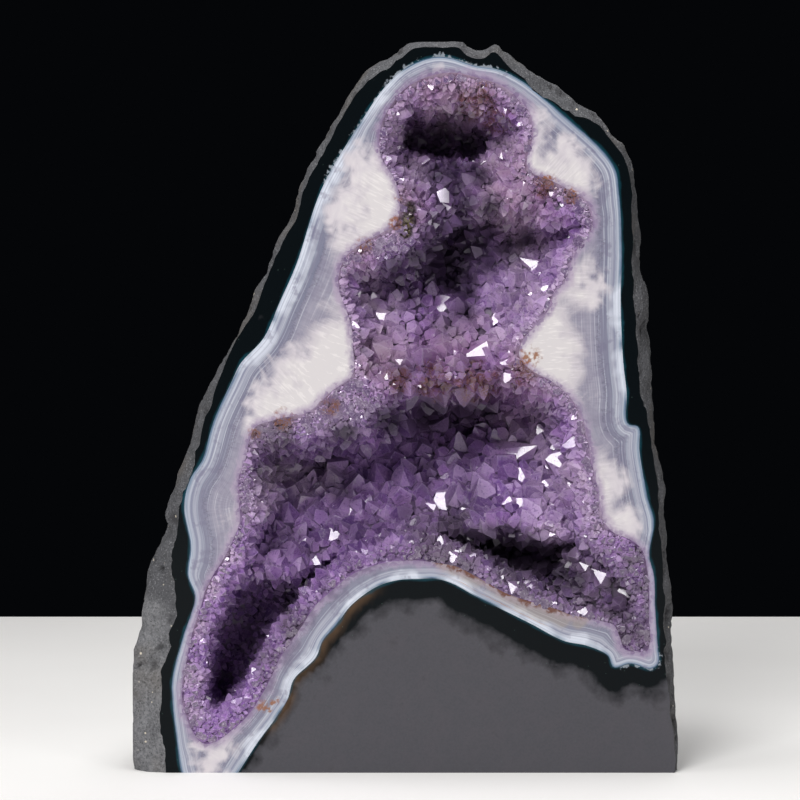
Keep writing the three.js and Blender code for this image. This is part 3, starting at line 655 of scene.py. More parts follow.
def banded_agate(settings):
    """Agate and milky quartz, polished: fine bands of silica, then white fibres, then lavender grain."""
    material, tree, shader, place = new_material("agate_banded")
    band, rim, along, stain, milk = given(tree, "band rim along stain milk")
    rusty, bright, dusky = given(tree, "rusty bright dusky")
    cloud = add(tree, "ShaderNodeTexNoise", {"Vector": place, "Scale": per_metre(6), "Detail": 5})
    wisp = add(tree, "ShaderNodeTexNoise",
               {"Vector": place, "Scale": per_metre(13), "Detail": 6, "Roughness": 0.65, "Distortion": 1.2})
    speck = add(tree, "ShaderNodeTexNoise", {"Vector": place, "Scale": per_metre(1.5), "Detail": 4})
    grains = add(tree, "ShaderNodeTexVoronoi", {"Vector": place, "Scale": per_metre(1.5)})
    strand = add(tree, "ShaderNodeMath", {0: along, 1: MM / settings.fibre_width}, operation="MULTIPLY")
    run = add(tree, "ShaderNodeMath", {0: band, 1: 0.13}, operation="MULTIPLY")
    lay = add(tree, "ShaderNodeCombineXYZ", {"X": strand, "Y": run})
    fibres = add(tree, "ShaderNodeTexNoise", {"Vector": lay, "Scale": 1.0, "Detail": 3})

    lines = add(tree, "ShaderNodeMath", {0: strand, 1: 0.015}, operation="MULTIPLY")
    rows = add(tree, "ShaderNodeMath", {0: band, 1: 1.7}, operation="MULTIPLY")
    lines = add(tree, "ShaderNodeCombineXYZ", {"X": lines, "Y": rows})
    lines = add(tree, "ShaderNodeTexNoise", {"Vector": lines, "Scale": 1.0, "Detail": 3})

    drift = add(tree, "ShaderNodeMath", {0: cloud, 1: 0.9, 2: -0.45}, operation="MULTIPLY_ADD")
    level = add(tree, "ShaderNodeMath", {0: band, 1: drift})
    level = add(tree, "ShaderNodeMath", {0: level, 1: 1 / BAND_SPAN}, operation="MULTIPLY")
    bands = add(tree, "ShaderNodeValToRGB", {0: level}, [(mm / BAND_SPAN, colour) for mm, colour in BANDS])

    # Teeth of white quartz grow in from the grey: how far a place lies past their ragged edge, in cm.
    past = add(tree, "ShaderNodeMath", {0: fibres, 1: 7.0, 2: band}, operation="MULTIPLY_ADD")
    past = add(tree, "ShaderNodeMath", {0: wisp, 1: 9.0, 2: past}, operation="MULTIPLY_ADD")
    past = add(tree, "ShaderNodeMath", {0: past, 1: 0.1, 2: -1.65}, operation="MULTIPLY_ADD")
    teeth = add(tree, "ShaderNodeMath", {0: past, 1: 0.05, 2: 0.035}, operation="COMPARE")
    lit = add(tree, "ShaderNodeMath", {0: level, 1: -1.7, 2: bright}, operation="MULTIPLY_ADD")
    deep = add(tree, "ShaderNodeMath", {0: band, 1: 0.05, 2: -1.0}, operation="MULTIPLY_ADD")
    white = add(tree, "ShaderNodeMath", {0: wisp, 1: 1.5, 2: milk}, operation="MULTIPLY_ADD")
    white = add(tree, "ShaderNodeMath", {0: white, 1: deep})
    thread = add(tree, "ShaderNodeMath", {0: fibres, 1: -1.0, 2: 0.62}, operation="MULTIPLY_ADD")
    thread = add(tree, "ShaderNodeMath", {0: thread, 1: past}, operation="MULTIPLY")
    dots = add(tree, "ShaderNodeMath", {0: cloud, 1: -1.6, 2: speck}, operation="MULTIPLY_ADD")
    dots = add(tree, "ShaderNodeMath", {0: band, 1: -0.02, 2: dots}, operation="MULTIPLY_ADD")

    wide = add(tree, "ShaderNodeMath", {0: wisp, 1: -7.0, 2: rim}, operation="MULTIPLY_ADD")
    wide = add(tree, "ShaderNodeMath", {0: speck, 1: -3.0, 2: wide}, operation="MULTIPLY_ADD")
    near = add(tree, "ShaderNodeMath", {0: grains.outputs["Color"], 1: 3.0, 2: rim}, operation="MULTIPLY_ADD")
    dusk = add(tree, "ShaderNodeMath", {0: near, 1: -0.09, 2: dusky}, operation="MULTIPLY_ADD")
    tan = add(tree, "ShaderNodeMath", {0: level, 1: rusty}, operation="MULTIPLY")
    rust = add(tree, "ShaderNodeMath", {0: near, 1: -0.16, 2: rusty}, operation="MULTIPLY_ADD")
    stained = add(tree, "ShaderNodeMath", {0: speck, 1: 2.0, 2: -0.5}, operation="MULTIPLY_ADD")
    stained = add(tree, "ShaderNodeMath", {0: stain, 1: stained}, operation="MULTIPLY")
    line = add(tree, "ShaderNodeMath", {0: level, 1: 0.22, 2: 0.012}, operation="COMPARE")
    line = add(tree, "ShaderNodeMath", {0: line, 1: rusty}, operation="MULTIPLY")
    colour = painted(tree, bands.outputs[0], [
        (lit, 0.0, 0.6, 0.7, linear("#dde1ec")),
        (lines, 0.5, 0.36, 0.4, linear("#6f748a")),
        (lines, 0.55, 0.68, 0.4, linear("#dcdfe8")),
        (dots, -0.48, -0.62, 0.45, linear("#716c84")),
        (teeth, 0.0, 1.0, 0.35, linear("#5f5a6c")),
        (past, 0.0, 0.5, 0.35, linear("#a9a4b1")),
        (white, 0.55, 1.1, 1.0, settings.milk),
        (white, 1.1, 1.6, 0.8, linear("#e0dbda")),
        (thread, 0.02, 0.12, 0.14, linear("#6f6878")),
        (wide, -1.6, -4.2, 0.7, settings.lavender),
        (near, 3.0, 1.2, 0.7, linear("#735c82")),
        (dusk, 0.1, 0.6, 0.6, linear("#655a74")),
        (tan, 0.12, 0.3, 0.4, linear("#a3947f")),
        (rust, 0.2, 0.5, 0.85, linear("#643b26")),
        (line, 0.2, 0.6, 0.7, linear("#a5703a")),
        (stained, 0.25, 0.6, 0.85, settings.rust),
    ])
    plug(tree, shader, {"Base Color": colour, "Roughness": 0.22, "IOR": QUARTZ_IOR})
    return material


def amethyst(settings):
    """Amethyst, natural faces: clear quartz coloured by iron, deepest at the tips. It lets light in."""
    # Its colour also carries painted shade, painted light and painted highlights, from the attributes read
    # below.
    material, tree, shader, place = new_material("amethyst_crystal")
    tip, tint, stain, pale, edge = given(tree, "tip tint stain pale edge")
    smoky, shade, facet, warm, ochre = given(tree, "smoky shade facet warm ochre")
    cloud, speck = [
        add(tree, "ShaderNodeTexNoise",
            {"Vector": place, "Scale": per_metre(size), "Detail": detail, "Distortion": swirl})
        for size, detail, swirl in ((4, 5, 0.8), (1.5, 4, 1.2))
    ]
    veil = add(tree, "ShaderNodeMath", {0: cloud, 1: 0.9, 2: tip}, operation="MULTIPLY_ADD")
    stained = add(tree, "ShaderNodeMath", {0: speck, 1: 2.0, 2: -0.5}, operation="MULTIPLY_ADD")
    stained = add(tree, "ShaderNodeMath", {0: stain, 1: stained}, operation="MULTIPLY")
    # Paler crystals next to the crust's edge, and painted light where the wall is lit, made cloudy.
    fresh = add(tree, "ShaderNodeMath", {0: cloud, 1: 0.7, 2: pale}, operation="MULTIPLY_ADD")
    dust = add(tree, "ShaderNodeTexNoise", {"Vector": place, "Scale": per_metre(0.8), "Detail": 2})
    dust = add(tree, "ShaderNodeMath", {0: dust, 1: ochre}, operation="MULTIPLY")
    colour = painted(tree, settings.body, [
        (veil, 0.9, 0.5, 0.55, settings.roots),
        (veil, 0.9, 1.4, 0.8, settings.tips),
        (tint, 0.45, 0.0, 0.6, linear("#593a85")),
        (tint, 0.65, 1.0, 0.5, linear("#c9aedb")),
        # paler crystals at the crust's edge, and painted light where the wall is lit
        (fresh, 0.45, 1.2, 0.9, settings.pale),
        # painted light and painted shade: each facet made lighter or darker at random, standing in for light
        # thrown back from inside the crystal
        (facet, 0.1, 1.0, 0.5, linear("#d3b2e6")),
        (facet, -0.1, -1.0, 0.6, linear("#4a286f")),
        (speck, 0.46, 0.34, 0.45, linear("#4a286f")),
        (speck, 0.56, 0.7, 0.4, linear("#d9bfe8")),
        (warm, 0.0, 1.0, 0.45, linear("#a0748c")),
        (smoky, 0.1, 1.0, 0.75, linear("#6e656b")),
        # painted highlight along the crystals' corners and edges
        (edge, 0.8, 1.0, 0.2, linear("#e3d3ee")),
        # painted shade: crystals darkened where they lie in shadow
        (shade, 0.0, 1.0, 0.88, linear("#2c1e38")),
        (stained, 0.18, 0.5, 0.8, linear("#6a3f2c")),
        (ochre, 0.1, 0.45, 0.85, linear("#37331f")),
        (dust, 0.3, 0.5, 0.6, linear("#7f7348")),
    ])
    # Crystals in the painted shade are also rougher, so they mirror less light.
    rough = add(tree, "ShaderNodeMapRange", {0: shade, 1: 0.2, 2: 0.9, 3: 0.07, 4: 0.4})
    plug(tree, shader, {
        "Base Color": colour, "Roughness": rough, "IOR": QUARTZ_IOR, "Transmission Weight": 0.25,
    })
    return material


def sawn_amethyst(settings):
    """Amethyst, sawn through and polished: a flat mosaic of purple grains with milky quartz between them."""
    material, tree, shader, place = new_material("amethyst_sawn")
    stain, smoky, mouth = given(tree, "stain smoky mouth")
    cloud = add(tree, "ShaderNodeTexNoise",
                {"Vector": place, "Scale": per_metre(5), "Detail": 5, "Distortion": 0.6})
    fine = add(tree, "ShaderNodeTexNoise", {"Vector": place, "Scale": per_metre(0.9), "Detail": 3})
    grains = add(tree, "ShaderNodeTexVoronoi", {"Vector": place, "Scale": per_metre(2.9)})
    inner = add(tree, "ShaderNodeMath", {0: cloud, 1: 9.0, 2: mouth}, operation="MULTIPLY_ADD")
    stained = add(tree, "ShaderNodeMath", {0: fine, 1: 2.0, 2: -0.5}, operation="MULTIPLY_ADD")
    stained = add(tree, "ShaderNodeMath", {0: stain, 1: stained}, operation="MULTIPLY")
    colour = painted(tree, settings.cut, [
        (grains.outputs["Color"], 0.45, 0.8, 0.6, linear("#5d4870")),
        (grains.outputs["Color"], 0.35, 0.1, 0.6, linear("#9a8ba1")),
        (inner, 8.0, 4.0, 0.5, linear("#5a4270")),
        (cloud, 0.55, 0.7, 0.6, linear("#9b8fa4")),
        (fine, 0.45, 0.32, 0.7, linear("#3d2e4b")),
        (fine, 0.57, 0.7, 0.8, linear("#b5aabb")),
        (smoky, 0.1, 1.0, 0.6, linear("#554e58")),
        (stained, 0.2, 0.5, 0.85, linear("#6e4226")),
    ])
    plug(tree, shader, {"Base Color": colour, "Roughness": 0.25, "IOR": QUARTZ_IOR})
    return material


# Places on the face where the quartz differs in colour, or gets painted light or painted shade: x and z of
# each one's middle and how far it reaches, in mm.
STAINS = [  # rust
    (31, 276, 9), (38, 269, 8), (24, 277, 5), (57, 241, 7), (67, 237, 5), (51, 171, 7), (48, 163, 8),
    (30, 160, 13), (12, 161, 12), (-3, 162, 9), (-31, 151, 6), (-50, 146, 7), (-62, 140, 4), (-4, 226, 4),
    (-3, 236, 3), (-17, 217, 5), (-58, 27, 4.5), (-54, 30, 3), (26, 292, 2.5),
]
MILK = [  # white quartz
    (-14.5, 240, 24), (-23, 228, 18), (-42, 158, 24), (-58, 150, 14), (-30, 170, 16), (62, 254, 20),
    (70, 244, 13), (55, 266, 12), (54, 180, 13), (60, 170, 15), (-80.5, 5, 20), (-20, 252, 14),
    (13, 290, 5), (84, 120, 12), (90, 104, 12), (77, 200, 12),
]
BRIGHT = [  # bands that are paler
    (-30, 245, 22), (-48, 205, 26), (-61, 177, 16), (-12, 280, 14), (88, 190, 14), (88, 165, 12),
    (-20, 72, 10), (0, 80, 9), (22, 78, 9), (50, 62, 14), (72, 53, 10), (-42, 40, 16), (-60, 12, 14),
]
DUSKY = [  # purple grains in the agate
    (-60, 36, 10), (-50, 50, 12), (-40, 64, 12), (-28, 75, 10), (-15, 83, 8), (-82, 118, 10), (-86, 96, 10),
]
OCHRE = [(1, 232, 4), (1.5, 226.5, 4.5), (0, 222, 3)]  # a dusty crust on the crystals
RUSTY = [(20, 88, 10), (30, 85, 13), (42, 79, 15), (54, 73, 15), (66, 68, 11)]  # bands that are rusty
# Painted light: crystals lightened where the wall is lit.
PAINTED_LIGHT = [  # crystals that are paler
    (44, 243, 15), (38, 232, 12), (47, 225, 10), (50, 214, 14), (47, 196, 16), (19, 180, 10), (36, 183, 12),
    (-10, 172, 18), (-3, 225, 10), (-20, 216, 12), (66, 117, 17), (60, 102, 12), (-26, 149, 14),
    (-60, 112, 12), (20, 281, 20), (-4, 264, 8), (44, 258, 9), (82, 105, 14), (-8, 189, 10), (0, 250, 8),
    (-15, 204, 7), (-15, 195, 9), (-32, 118, 10), (-44, 116, 11), (-52, 120, 9), (55, 143, 9), (56, 133, 9),
    (76, 120, 9), (74, 134, 8), (79, 108, 9), (72, 112, 10), (46, 141, 8), (46, 134, 8), (-86, 60, 7),
    (-88, 40, 8), (-88, 26, 8), (-80, 76, 7), (-73, 88, 7), (-5, 272, 8), (-7, 258, 7), (4, 247, 9),
    (2, 238, 8), (5, 251, 7), (6, 241, 7), (36, 252, 7), (40, 260, 6),
]
# Painted shade: crystals darkened where they lie deep in shadow, under ledges and in gullies.
PAINTED_SHADE = [  # crystals deep in the shade
    (15, 263, 9), (26, 262, 8), (5, 264, 7), (20, 249, 8), (28, 248, 7), (21, 242, 9), (24, 234, 9),
    (14, 224, 10), (24, 224, 9), (12, 218, 10), (26, 215, 10), (34, 211, 9), (43, 216, 8), (51, 220, 6),
    (-4, 208, 8), (4, 211, 9), (16, 210, 14), (20, 202, 9), (28, 203, 6), (-25, 140, 8), (-8, 144, 10),
    (10, 146, 12), (26, 147, 11), (36, 146, 6), (36, 94, 8), (44, 94, 9), (52, 89, 9), (59, 86, 8),
    (26, 95, 6), (16, 234, 6), (14, 248, 8), (30, 246, 7), (35, 233, 7), (44, 86, 6), (52, 82, 6),
    (60, 80, 6), (36, 90, 6), (26, 198, 6), (34, 223, 7), (40, 88, 8), (48, 85, 8), (66, 80, 7),
    (72, 78, 6), (32, 216, 9), (26, 206, 8), (24, 198, 7), (25, 190, 6),
]
# Painted shade, half as dark: crystals darkened where they lie in half shadow.
PAINTED_HALF_SHADE = [  # crystals in half shade
    (26, 238, 9), (17, 246, 7), (-4, 200, 7), (2, 197, 7), (24, 193, 7), (0, 165, 8), (12, 162, 10),
    (24, 163, 10), (36, 160, 7), (26, 128, 10), (28, 115, 8), (-30, 98, 10), (-14, 101, 11), (0, 106, 8),
    (-48, 92, 9), (-38, 91, 8), (-48, 132, 9), (-34, 134, 8), (20, 100, 8), (50, 232, 6), (-10, 268, 5),
    (36, 222, 9), (18, 186, 9), (-2, 158, 7), (8, 155, 7), (22, 156, 8), (34, 153, 7), (-66, 60, 8),
    (-70, 50, 8), (-56, 78, 8), (-45, 57, 5), (-40, 64, 5), (-24, 112, 9), (10, 118, 9), (40, 94, 10),
    (68, 90, 9), (78, 82, 10), (88, 74, 9), (92, 62, 9), (-46, 60, 7), (-41, 66, 7), (-33, 77, 7),
    (-22, 86, 7), (-8, 92, 7), (8, 92, 7), (-54, 50, 7), (-24, 98, 8), (-10, 98, 8), (5, 99, 8),
]
SMOKY = [  # crystals that are grey
    (70, 76, 26), (90, 64, 22), (20, 91, 26), (48, 82, 20), (92, 80, 16), (-55, 138, 12), (-46, 60, 9),
    (-56, 44, 8), (-57, 122, 8),
]
WARM = [  # crystals that are pinkish
    (20, 281, 24), (48, 240, 24), (20, 166, 26), (44, 160, 22), (-8, 168, 18), (-20, 216, 12), (0, 230, 14),
]
SPOT_FADE = (0.2, 1.3)  # where a place starts to fade and where it ends, as shares of its reach
SPOT_LUMP = 4  # mm, of the noise that frays its edge

# Crystals are paler next to the crust's edge. That changes over mm inside it, mm behind the face and heights.
PALE_WIDTH, PALE_DEPTH, PALE_HEIGHTS = (2, 9), (3, 12), (90, 150)


def spread_of(spots, points, seed, ragged=0.6):
    """From 0 to 1, how near points of a mesh lie to the listed places, with a ragged edge."""
    spread = np.zeros(len(points))
    for x, z, reach in spots:
        away = np.hypot(points[:, 0] - x, points[:, 2] - z) / reach
        spread = np.maximum(spread, 1 - smoothstep(away, *SPOT_FADE))
    return np.clip(spread * (1 + ragged * (noise(points, SPOT_LUMP, 2, seed=seed) - 0.2)), 0, 1)


def give_spreads(mesh, points, lists):
    """Keeps how near points lie to the places of some lists: a name for each, its list and a seed."""
    for name, spots, seed in lists:
        give(mesh, name, spread_of(spots, points, seed))


def quartz_colours(mesh):
    """Keeps what the amethyst's colour depends on, its painted light and painted shade among it: how near the
    root of the crust a point is, and where.
    """
    points = positions(mesh)
    inside = to_outline(ROOT_EDGE, points[:, 0], points[:, 2])[0]
    shallow = 1 - smoothstep(points[:, 1] - FACE_Y, *PALE_DEPTH)
    high = 0.1 + 0.7 * smoothstep(points[:, 2], *PALE_HEIGHTS)
    edge = 0.8 * (1 - smoothstep(inside, *PALE_WIDTH)) * shallow * high
    # The pale coat: paler next to the crust's edge, and painted light where the wall is lit.
    give(mesh, "pale", np.maximum(edge, 0.75 * spread_of(PAINTED_LIGHT, points, 22)))
    give_spreads(mesh, points, [
        ("stain", STAINS, 21), ("smoky", SMOKY, 23), ("warm", WARM, 32), ("ochre", OCHRE, 33),
    ])
    # Painted shade: darkest where the crystals lie deep in shadow, half as dark in half shadow.
    dark, half_shaded = spread_of(PAINTED_SHADE, points, 28, 0.2), spread_of(PAINTED_HALF_SHADE, points, 31, 0.3)
    give(mesh, "shade", np.maximum(dark, 0.5 * half_shaded))
    give(mesh, "mouth", -to_outline(MOUTH_EDGE, points[:, 0], points[:, 2])[0])


# Basalt

AROUND = 640  # points round the stone where it is widest
SKIN_STEP = 1.7  # mm from one ring of the outside to the next
RIM_DEPTHS = [0, 0.7, 1.6, 2.8, 4.2, 5.8, 7.4, CORNER_DEPTH]
RIM_BULGE = 1.9  # power that rounds the broken edge
WIDEN = 1.01  # the outline was seen from in front, where what lies further back looks smaller
EVENING = 0.04  # share of the outline over which a ring at the back is evened out
MEAN_REACH = 120  # mm from the stone's middle to its outline, about
SMALL_RING = 0.6  # share of the widest ring under which the next one has half its points
HONED, BROKEN, SAWN = 0, 1, 2
LUMPS = [(1.3, 15, 1), (0.8, 5.5, 2)]  # of the broken outside: height, size in mm, seed
PIT_WIDTHS = (1.4, 3.4)  # mm
FACE_CELL, SEAT_CELL = 2.0, 7.0  # mm between the points of the sawn face, and of the seat of the lining


def stone_ring(edge, depth, count):
    """Points of the outside at a depth behind the face: the outline, smoother and narrower further back."""
    spread = round(len(edge) * EVENING * min(2 * max(depth - CORNER_DEPTH, 0), DEPTH) / DEPTH)
    if spread:
        window = [np.roll(edge[:, :2], shift, 0) for shift in range(-spread, spread + 1, 4)]
        flat = np.mean(window, axis=0)
    else:
        flat = edge[:, :2]
    ray = flat - HEART
    reach = np.hypot(*ray.T)
    front = max(1 - depth / CORNER_DEPTH, 0) ** RIM_BULGE
    share = dome_share(depth) if depth > CORNER_DEPTH else dome_share(CORNER_DEPTH)
    share = WIDEN * share + (1 - WIDEN * share) * front
    ring = HEART + ray * ((reach * share - edge[:, 2] * front) / reach)[:, None]
    step = len(edge) // count
    return np.stack([ring[::step, 0], np.full(count, FACE_Y + depth), ring[::step, 1]], 1)


def ring_depths():
    """Depths of the rings, the same distance apart along the dome, and how many points each one has."""
    share = np.linspace(dome_share(CORNER_DEPTH), 0, 2000)
    depth = dome_depth(share)
    run = np.concatenate([[0], np.cumsum(np.hypot(np.diff(share) * MEAN_REACH, np.diff(depth)))])
    at = np.linspace(0, run[-1], int(run[-1] / SKIN_STEP))[1:-1]
    counts = [AROUND] * len(RIM_DEPTHS)
    for s in np.interp(at, run, share):
        halvings = int(np.clip(np.floor(np.log2(SMALL_RING / max(s, 0.01))), 0, 5))
        counts.append(AROUND // 2 ** halvings)
    return list(RIM_DEPTHS) + list(np.interp(at, run, depth)), counts


def skin_of(edge):
    """The broken outside: rings from the sawn face to the back, each joined to the next."""
    depths, counts = ring_depths()
    points = [stone_ring(edge, depth, count) for depth, count in zip(depths, counts)]
    faces, start = [], 0
    for near, far in zip(counts, counts[1:]):
        a, b = start + np.arange(near), start + near + np.arange(far)
        if near == far:
            faces.append(np.stack([a, np.roll(a, -1), np.roll(b, -1)], 1))
            faces.append(np.stack([a, np.roll(b, -1), b], 1))
        else:
            first, middle, last = a[::2], a[1::2], np.roll(a[::2], -1)
            faces.append(np.stack([first, middle, b], 1))
            faces.append(np.stack([middle, last, np.roll(b, -1)], 1))
            faces.append(np.stack([middle, np.roll(b, -1), b], 1))
        start += near
    last = start + np.arange(counts[-1])
    top = np.full(counts[-1], start + counts[-1])
    faces.append(np.stack([last, np.roll(last, -1), top], 1))
    points.append([[HEART[0], FACE_Y + DEPTH, HEART[1]]])
    return np.vstack(points), np.vstack(faces)


def lumps(points):
    """The broad lumps of the solid stone's back."""
    x, y, z = points.T
    fade = smoothstep(y - FACE_Y, CORNER_DEPTH, 4 * CORNER_DEPTH)
    broad = np.sin(x / 24 + y / 31) * np.cos(z / 27 - y / 35)
    small = np.sin(z / 12 + x / 17) * np.sin(y / 13 - x / 15)
    return fade * (3.2 * broad + 1.7 * small)


def roughened(points, normals, settings):
    """Points of the outside moved in and out by lumps, grain and pits, and how deep in a pit each lies."""
    height = settings.lump_height / MM
    fade = smoothstep(points[:, 1] - FACE_Y, 0.1, 3)
    rough = sum(share * noise(points, size, 2, seed=seed) for share, size, seed in LUMPS) - 0.1
    pick = np.random.default_rng(4)
    centres = points[pick.choice(len(points), settings.pit_count, replace=False)]
    widths = pick.uniform(*PIT_WIDTHS, settings.pit_count)
    tree = KDTree(len(centres))
    for i, centre in enumerate(centres):
        tree.insert(centre, i)
    tree.balance()
    pits = np.zeros(len(points))
    for i, point in enumerate(points):
        _, found, away = tree.find(point)
        pits[i] = max(0.0, 1 - (away / widths[found]) ** 2)
    move = lumps(points) + fade * (height * rough - settings.pit_depth / MM * pits)
    moved = points + normals * move[:, None]
    moved[:, 1] = np.maximum(moved[:, 1], FACE_Y + 0.4 * (points[:, 1] - FACE_Y))
    return moved, pits


# Width of the dark margin under the arch: x and mm.
MARGIN = [[-62, 0.8], [-45, 1.5], [-25, 6], [0, 9.5], [40, 9.5], [80, 10], [104, 8]]
MARGIN_CLOUD = 11  # mm, over which a thin cloud of it ends


def hill_margin(x, z, out):
    """How much dark margin is at places on the sawn face: all of it but for the hill under the arch."""
    arch = np.array(LINING_OUTLINE[:ARCH_POINTS])
    under = (z < np.interp(x, arch[:, 0], arch[:, 1])) & (x > arch[0, 0])
    width = np.interp(x, *np.array(MARGIN).T)
    sharp = 1 - smoothstep(out, 0.6 * width, 1.4 * width)
    cloudy = 0.4 * (1 - smoothstep(out, width, width + MARGIN_CLOUD))
    return np.where(under, np.maximum(sharp, cloudy), 1)


# Places where the broken stone is lighter grey, is brown next to the agate, and has white frost next to it.
LIGHTER_SKIN = [(-108, 60, 14), (-110, 30, 30), (-106, 5, 24)]
BROWN = [(-50, 26, 14), (-40, 42, 14), (-30, 56, 14), (-18, 68, 12)]
FROST = [
    (-28, 248, 14), (-16, 268, 16), (-2, 284, 16), (18, 292, 18), (34, 287, 12), (103, 46, 8), (92, 43, 8),
]


class CATHEDRAL_OT_basalt(bpy.types.Operator):
    """Make the basalt stone, broken outside, sawn flat in front and underneath"""

    bl_idname = "cathedral.basalt"
    bl_label = "Basalt"

    def execute(self, context):
        settings = context.scene.cathedral.stone
        edge = evenly(STONE, AROUND)
        spots = np.stack([edge[:, 0], 0 * edge[:, 0], edge[:, 1]], 1)
        ragged = noise(spots, 8, 2, seed=11) + 0.5 * noise(spots, 2.6, 2, seed=12)
        edge[:, 2] += 0.3 + np.minimum(0.35 * edge[:, 2], 1.1) * ragged
        skin, sides = skin_of(edge)
        shell = mesh_of("skin", [(skin, sides, BROKEN)])
        normals = np.array([v.normal for v in shell.vertices])
        outwards = np.sign(np.sum((skin - [HEART[0], 0, HEART[1]]) * normals, axis=1).mean())
        skin, pits = roughened(skin, normals * outwards, settings)
        face, face_sides = filled([skin[:AROUND, [0, 2]], LINING_EDGE], FACE_CELL)
        seat, seat_sides = filled([LINING_EDGE], SEAT_CELL)
        mesh = mesh_of("basalt", [
            (behind_face(face, np.zeros(len(face))), face_sides, HONED),
            (skin, sides, BROKEN),
            (behind_face(seat, lining_depth(*seat.T)), seat_sides, BROKEN),
        ])
        give(mesh, "pit", np.concatenate([np.zeros(len(face)), pits, np.zeros(len(seat))]))
        closed(mesh, SAWN)
        move_to(mesh, np.clip(positions(mesh), LOW, HIGH))
        points = positions(mesh)
        out = -to_outline(LINING_EDGE, points[:, 0], points[:, 2])[0]
        give(mesh, "from_agate", out)
        give(mesh, "margin", hill_margin(points[:, 0], points[:, 2], out))
        give(mesh, "brown", (1 - smoothstep(out, 0.3, 4.5)) * spread_of(BROWN, points, 24))
        give(mesh, "fresh", spread_of(LIGHTER_SKIN, points, 30))
        give(mesh, "frost", (1 - smoothstep(out, 0.2, 3)) * spread_of(FROST, points, 25))
        materials = [honed_basalt(settings), broken_basalt(settings), sawn_base(settings)]
        piece("basalt", mesh, materials, "basalt_stone")
        return {"FINISHED"}


# Agate

BAND_ROOM = (9, 12)  # mm from basalt to crystals, between which the bands are squeezed
RELIEF = 0.15  # how far the polish sank in the softer quartz round the mouth
RELIEF_WIDTH = (0.5, 2)  # mm outside the crystals over which it sank
AGATE_CELL = 1.2  # mm between the points of the agate's face


class CATHEDRAL_OT_agate(bpy.types.Operator):
    """Make the lining of banded agate and milky quartz"""

    bl_idname = "cathedral.agate"
    bl_label = "Agate"

    def execute(self, context):
        face, face_sides = filled([LINING_EDGE, ROOT_EDGE], AGATE_CELL, seed=2)
        back, back_sides = filled([LINING_EDGE], SEAT_CELL)
        seat, seat_sides = filled([ROOT_EDGE], BACK_CELL)
        sunk = RELIEF * (1 - smoothstep(-to_outline(ROOT_EDGE, *face.T)[0], *RELIEF_WIDTH))
        sunk[:len(LINING_EDGE)] = 0
        sunk[len(LINING_EDGE):len(LINING_EDGE) + len(ROOT_EDGE)] = RELIEF
        mesh = mesh_of("agate", [
            (behind_face(face, sunk), face_sides, 0),
            (behind_face(back, lining_depth(*back.T)), back_sides, 0),
            (behind_face(seat, RELIEF + crust_back(*seat.T)), seat_sides, 0),
        ])
        closed(mesh, 0)
        points = positions(mesh)
        inside, along = to_outline(LINING_EDGE, points[:, 0], points[:, 2])
        rim = -to_outline(ROOT_EDGE, points[:, 0], points[:, 2])[0]
        give(mesh, "band", inside * BAND_ROOM[1] / np.clip(inside + rim, *BAND_ROOM))
        give(mesh, "rim", rim)
        give(mesh, "along", along)
        give_spreads(mesh, points, [
            ("stain", STAINS, 21), ("milk", MILK, 26), ("rusty", RUSTY, 27), ("bright", BRIGHT, 29),
            ("dusky", DUSKY, 34),
        ])
        piece("agate", mesh, [banded_agate(context.scene.cathedral.agate)], "agate_lining")
        return {"FINISHED"}


# Amethyst

WALL_CELL = 2.5  # mm between the points of the crystals' bed
LONGEST = 3.6  # mm, past which an edge of the bed is halved
HALVINGS = 4  # how often
END_SLOPE = radians(51.8)  # between a quartz crystal's axis and the way out of an end face
FOOT = 0.9  # how far a crystal of radius 1 reaches into the wall
SHAPES = 9  # crystals that the scatter picks from


def crystal_bed():
    """The wall of the hollow, fine enough to follow its ledges."""
    spots, sides = filled([ROOT_EDGE], WALL_CELL, seed=6)
    flat = mesh_of("bed", [(np.stack([spots[:, 0], 0 * spots[:, 0], spots[:, 1]], 1), sides, 0)])
    for halving in range(HALVINGS + 1):
        points = positions(flat)
        points[:, 1] = FACE_Y + RELIEF + hollow_depth(points[:, 0], points[:, 2])
        move_to(flat, points)
        if halving == HALVINGS:
            return flat
        bm = bmesh.new()
        bm.from_mesh(flat)
        long = [e for e in bm.edges if e.calc_length() > LONGEST * MM and not e.is_boundary]
        bmesh.ops.subdivide_edges(bm, edges=long, cuts=1)
        bmesh.ops.triangulate(bm, faces=bm.faces)
        bm.to_mesh(flat)
        bm.free()


def welded(points, sides):
    """Triangles with points that lie in one place joined, and without those folded flat onto each other."""
    _, same, place = np.unique(np.round(points, 2), axis=0, return_index=True, return_inverse=True)
    joined = same[place.ravel()][sides]
    a, b, c = joined.T
    joined = joined[(a != b) & (b != c) & (c != a)]
    _, first, copies = np.unique(np.sort(joined, axis=1), axis=0, return_index=True, return_counts=True)
    return joined[np.sort(first[copies % 2 == 1])]


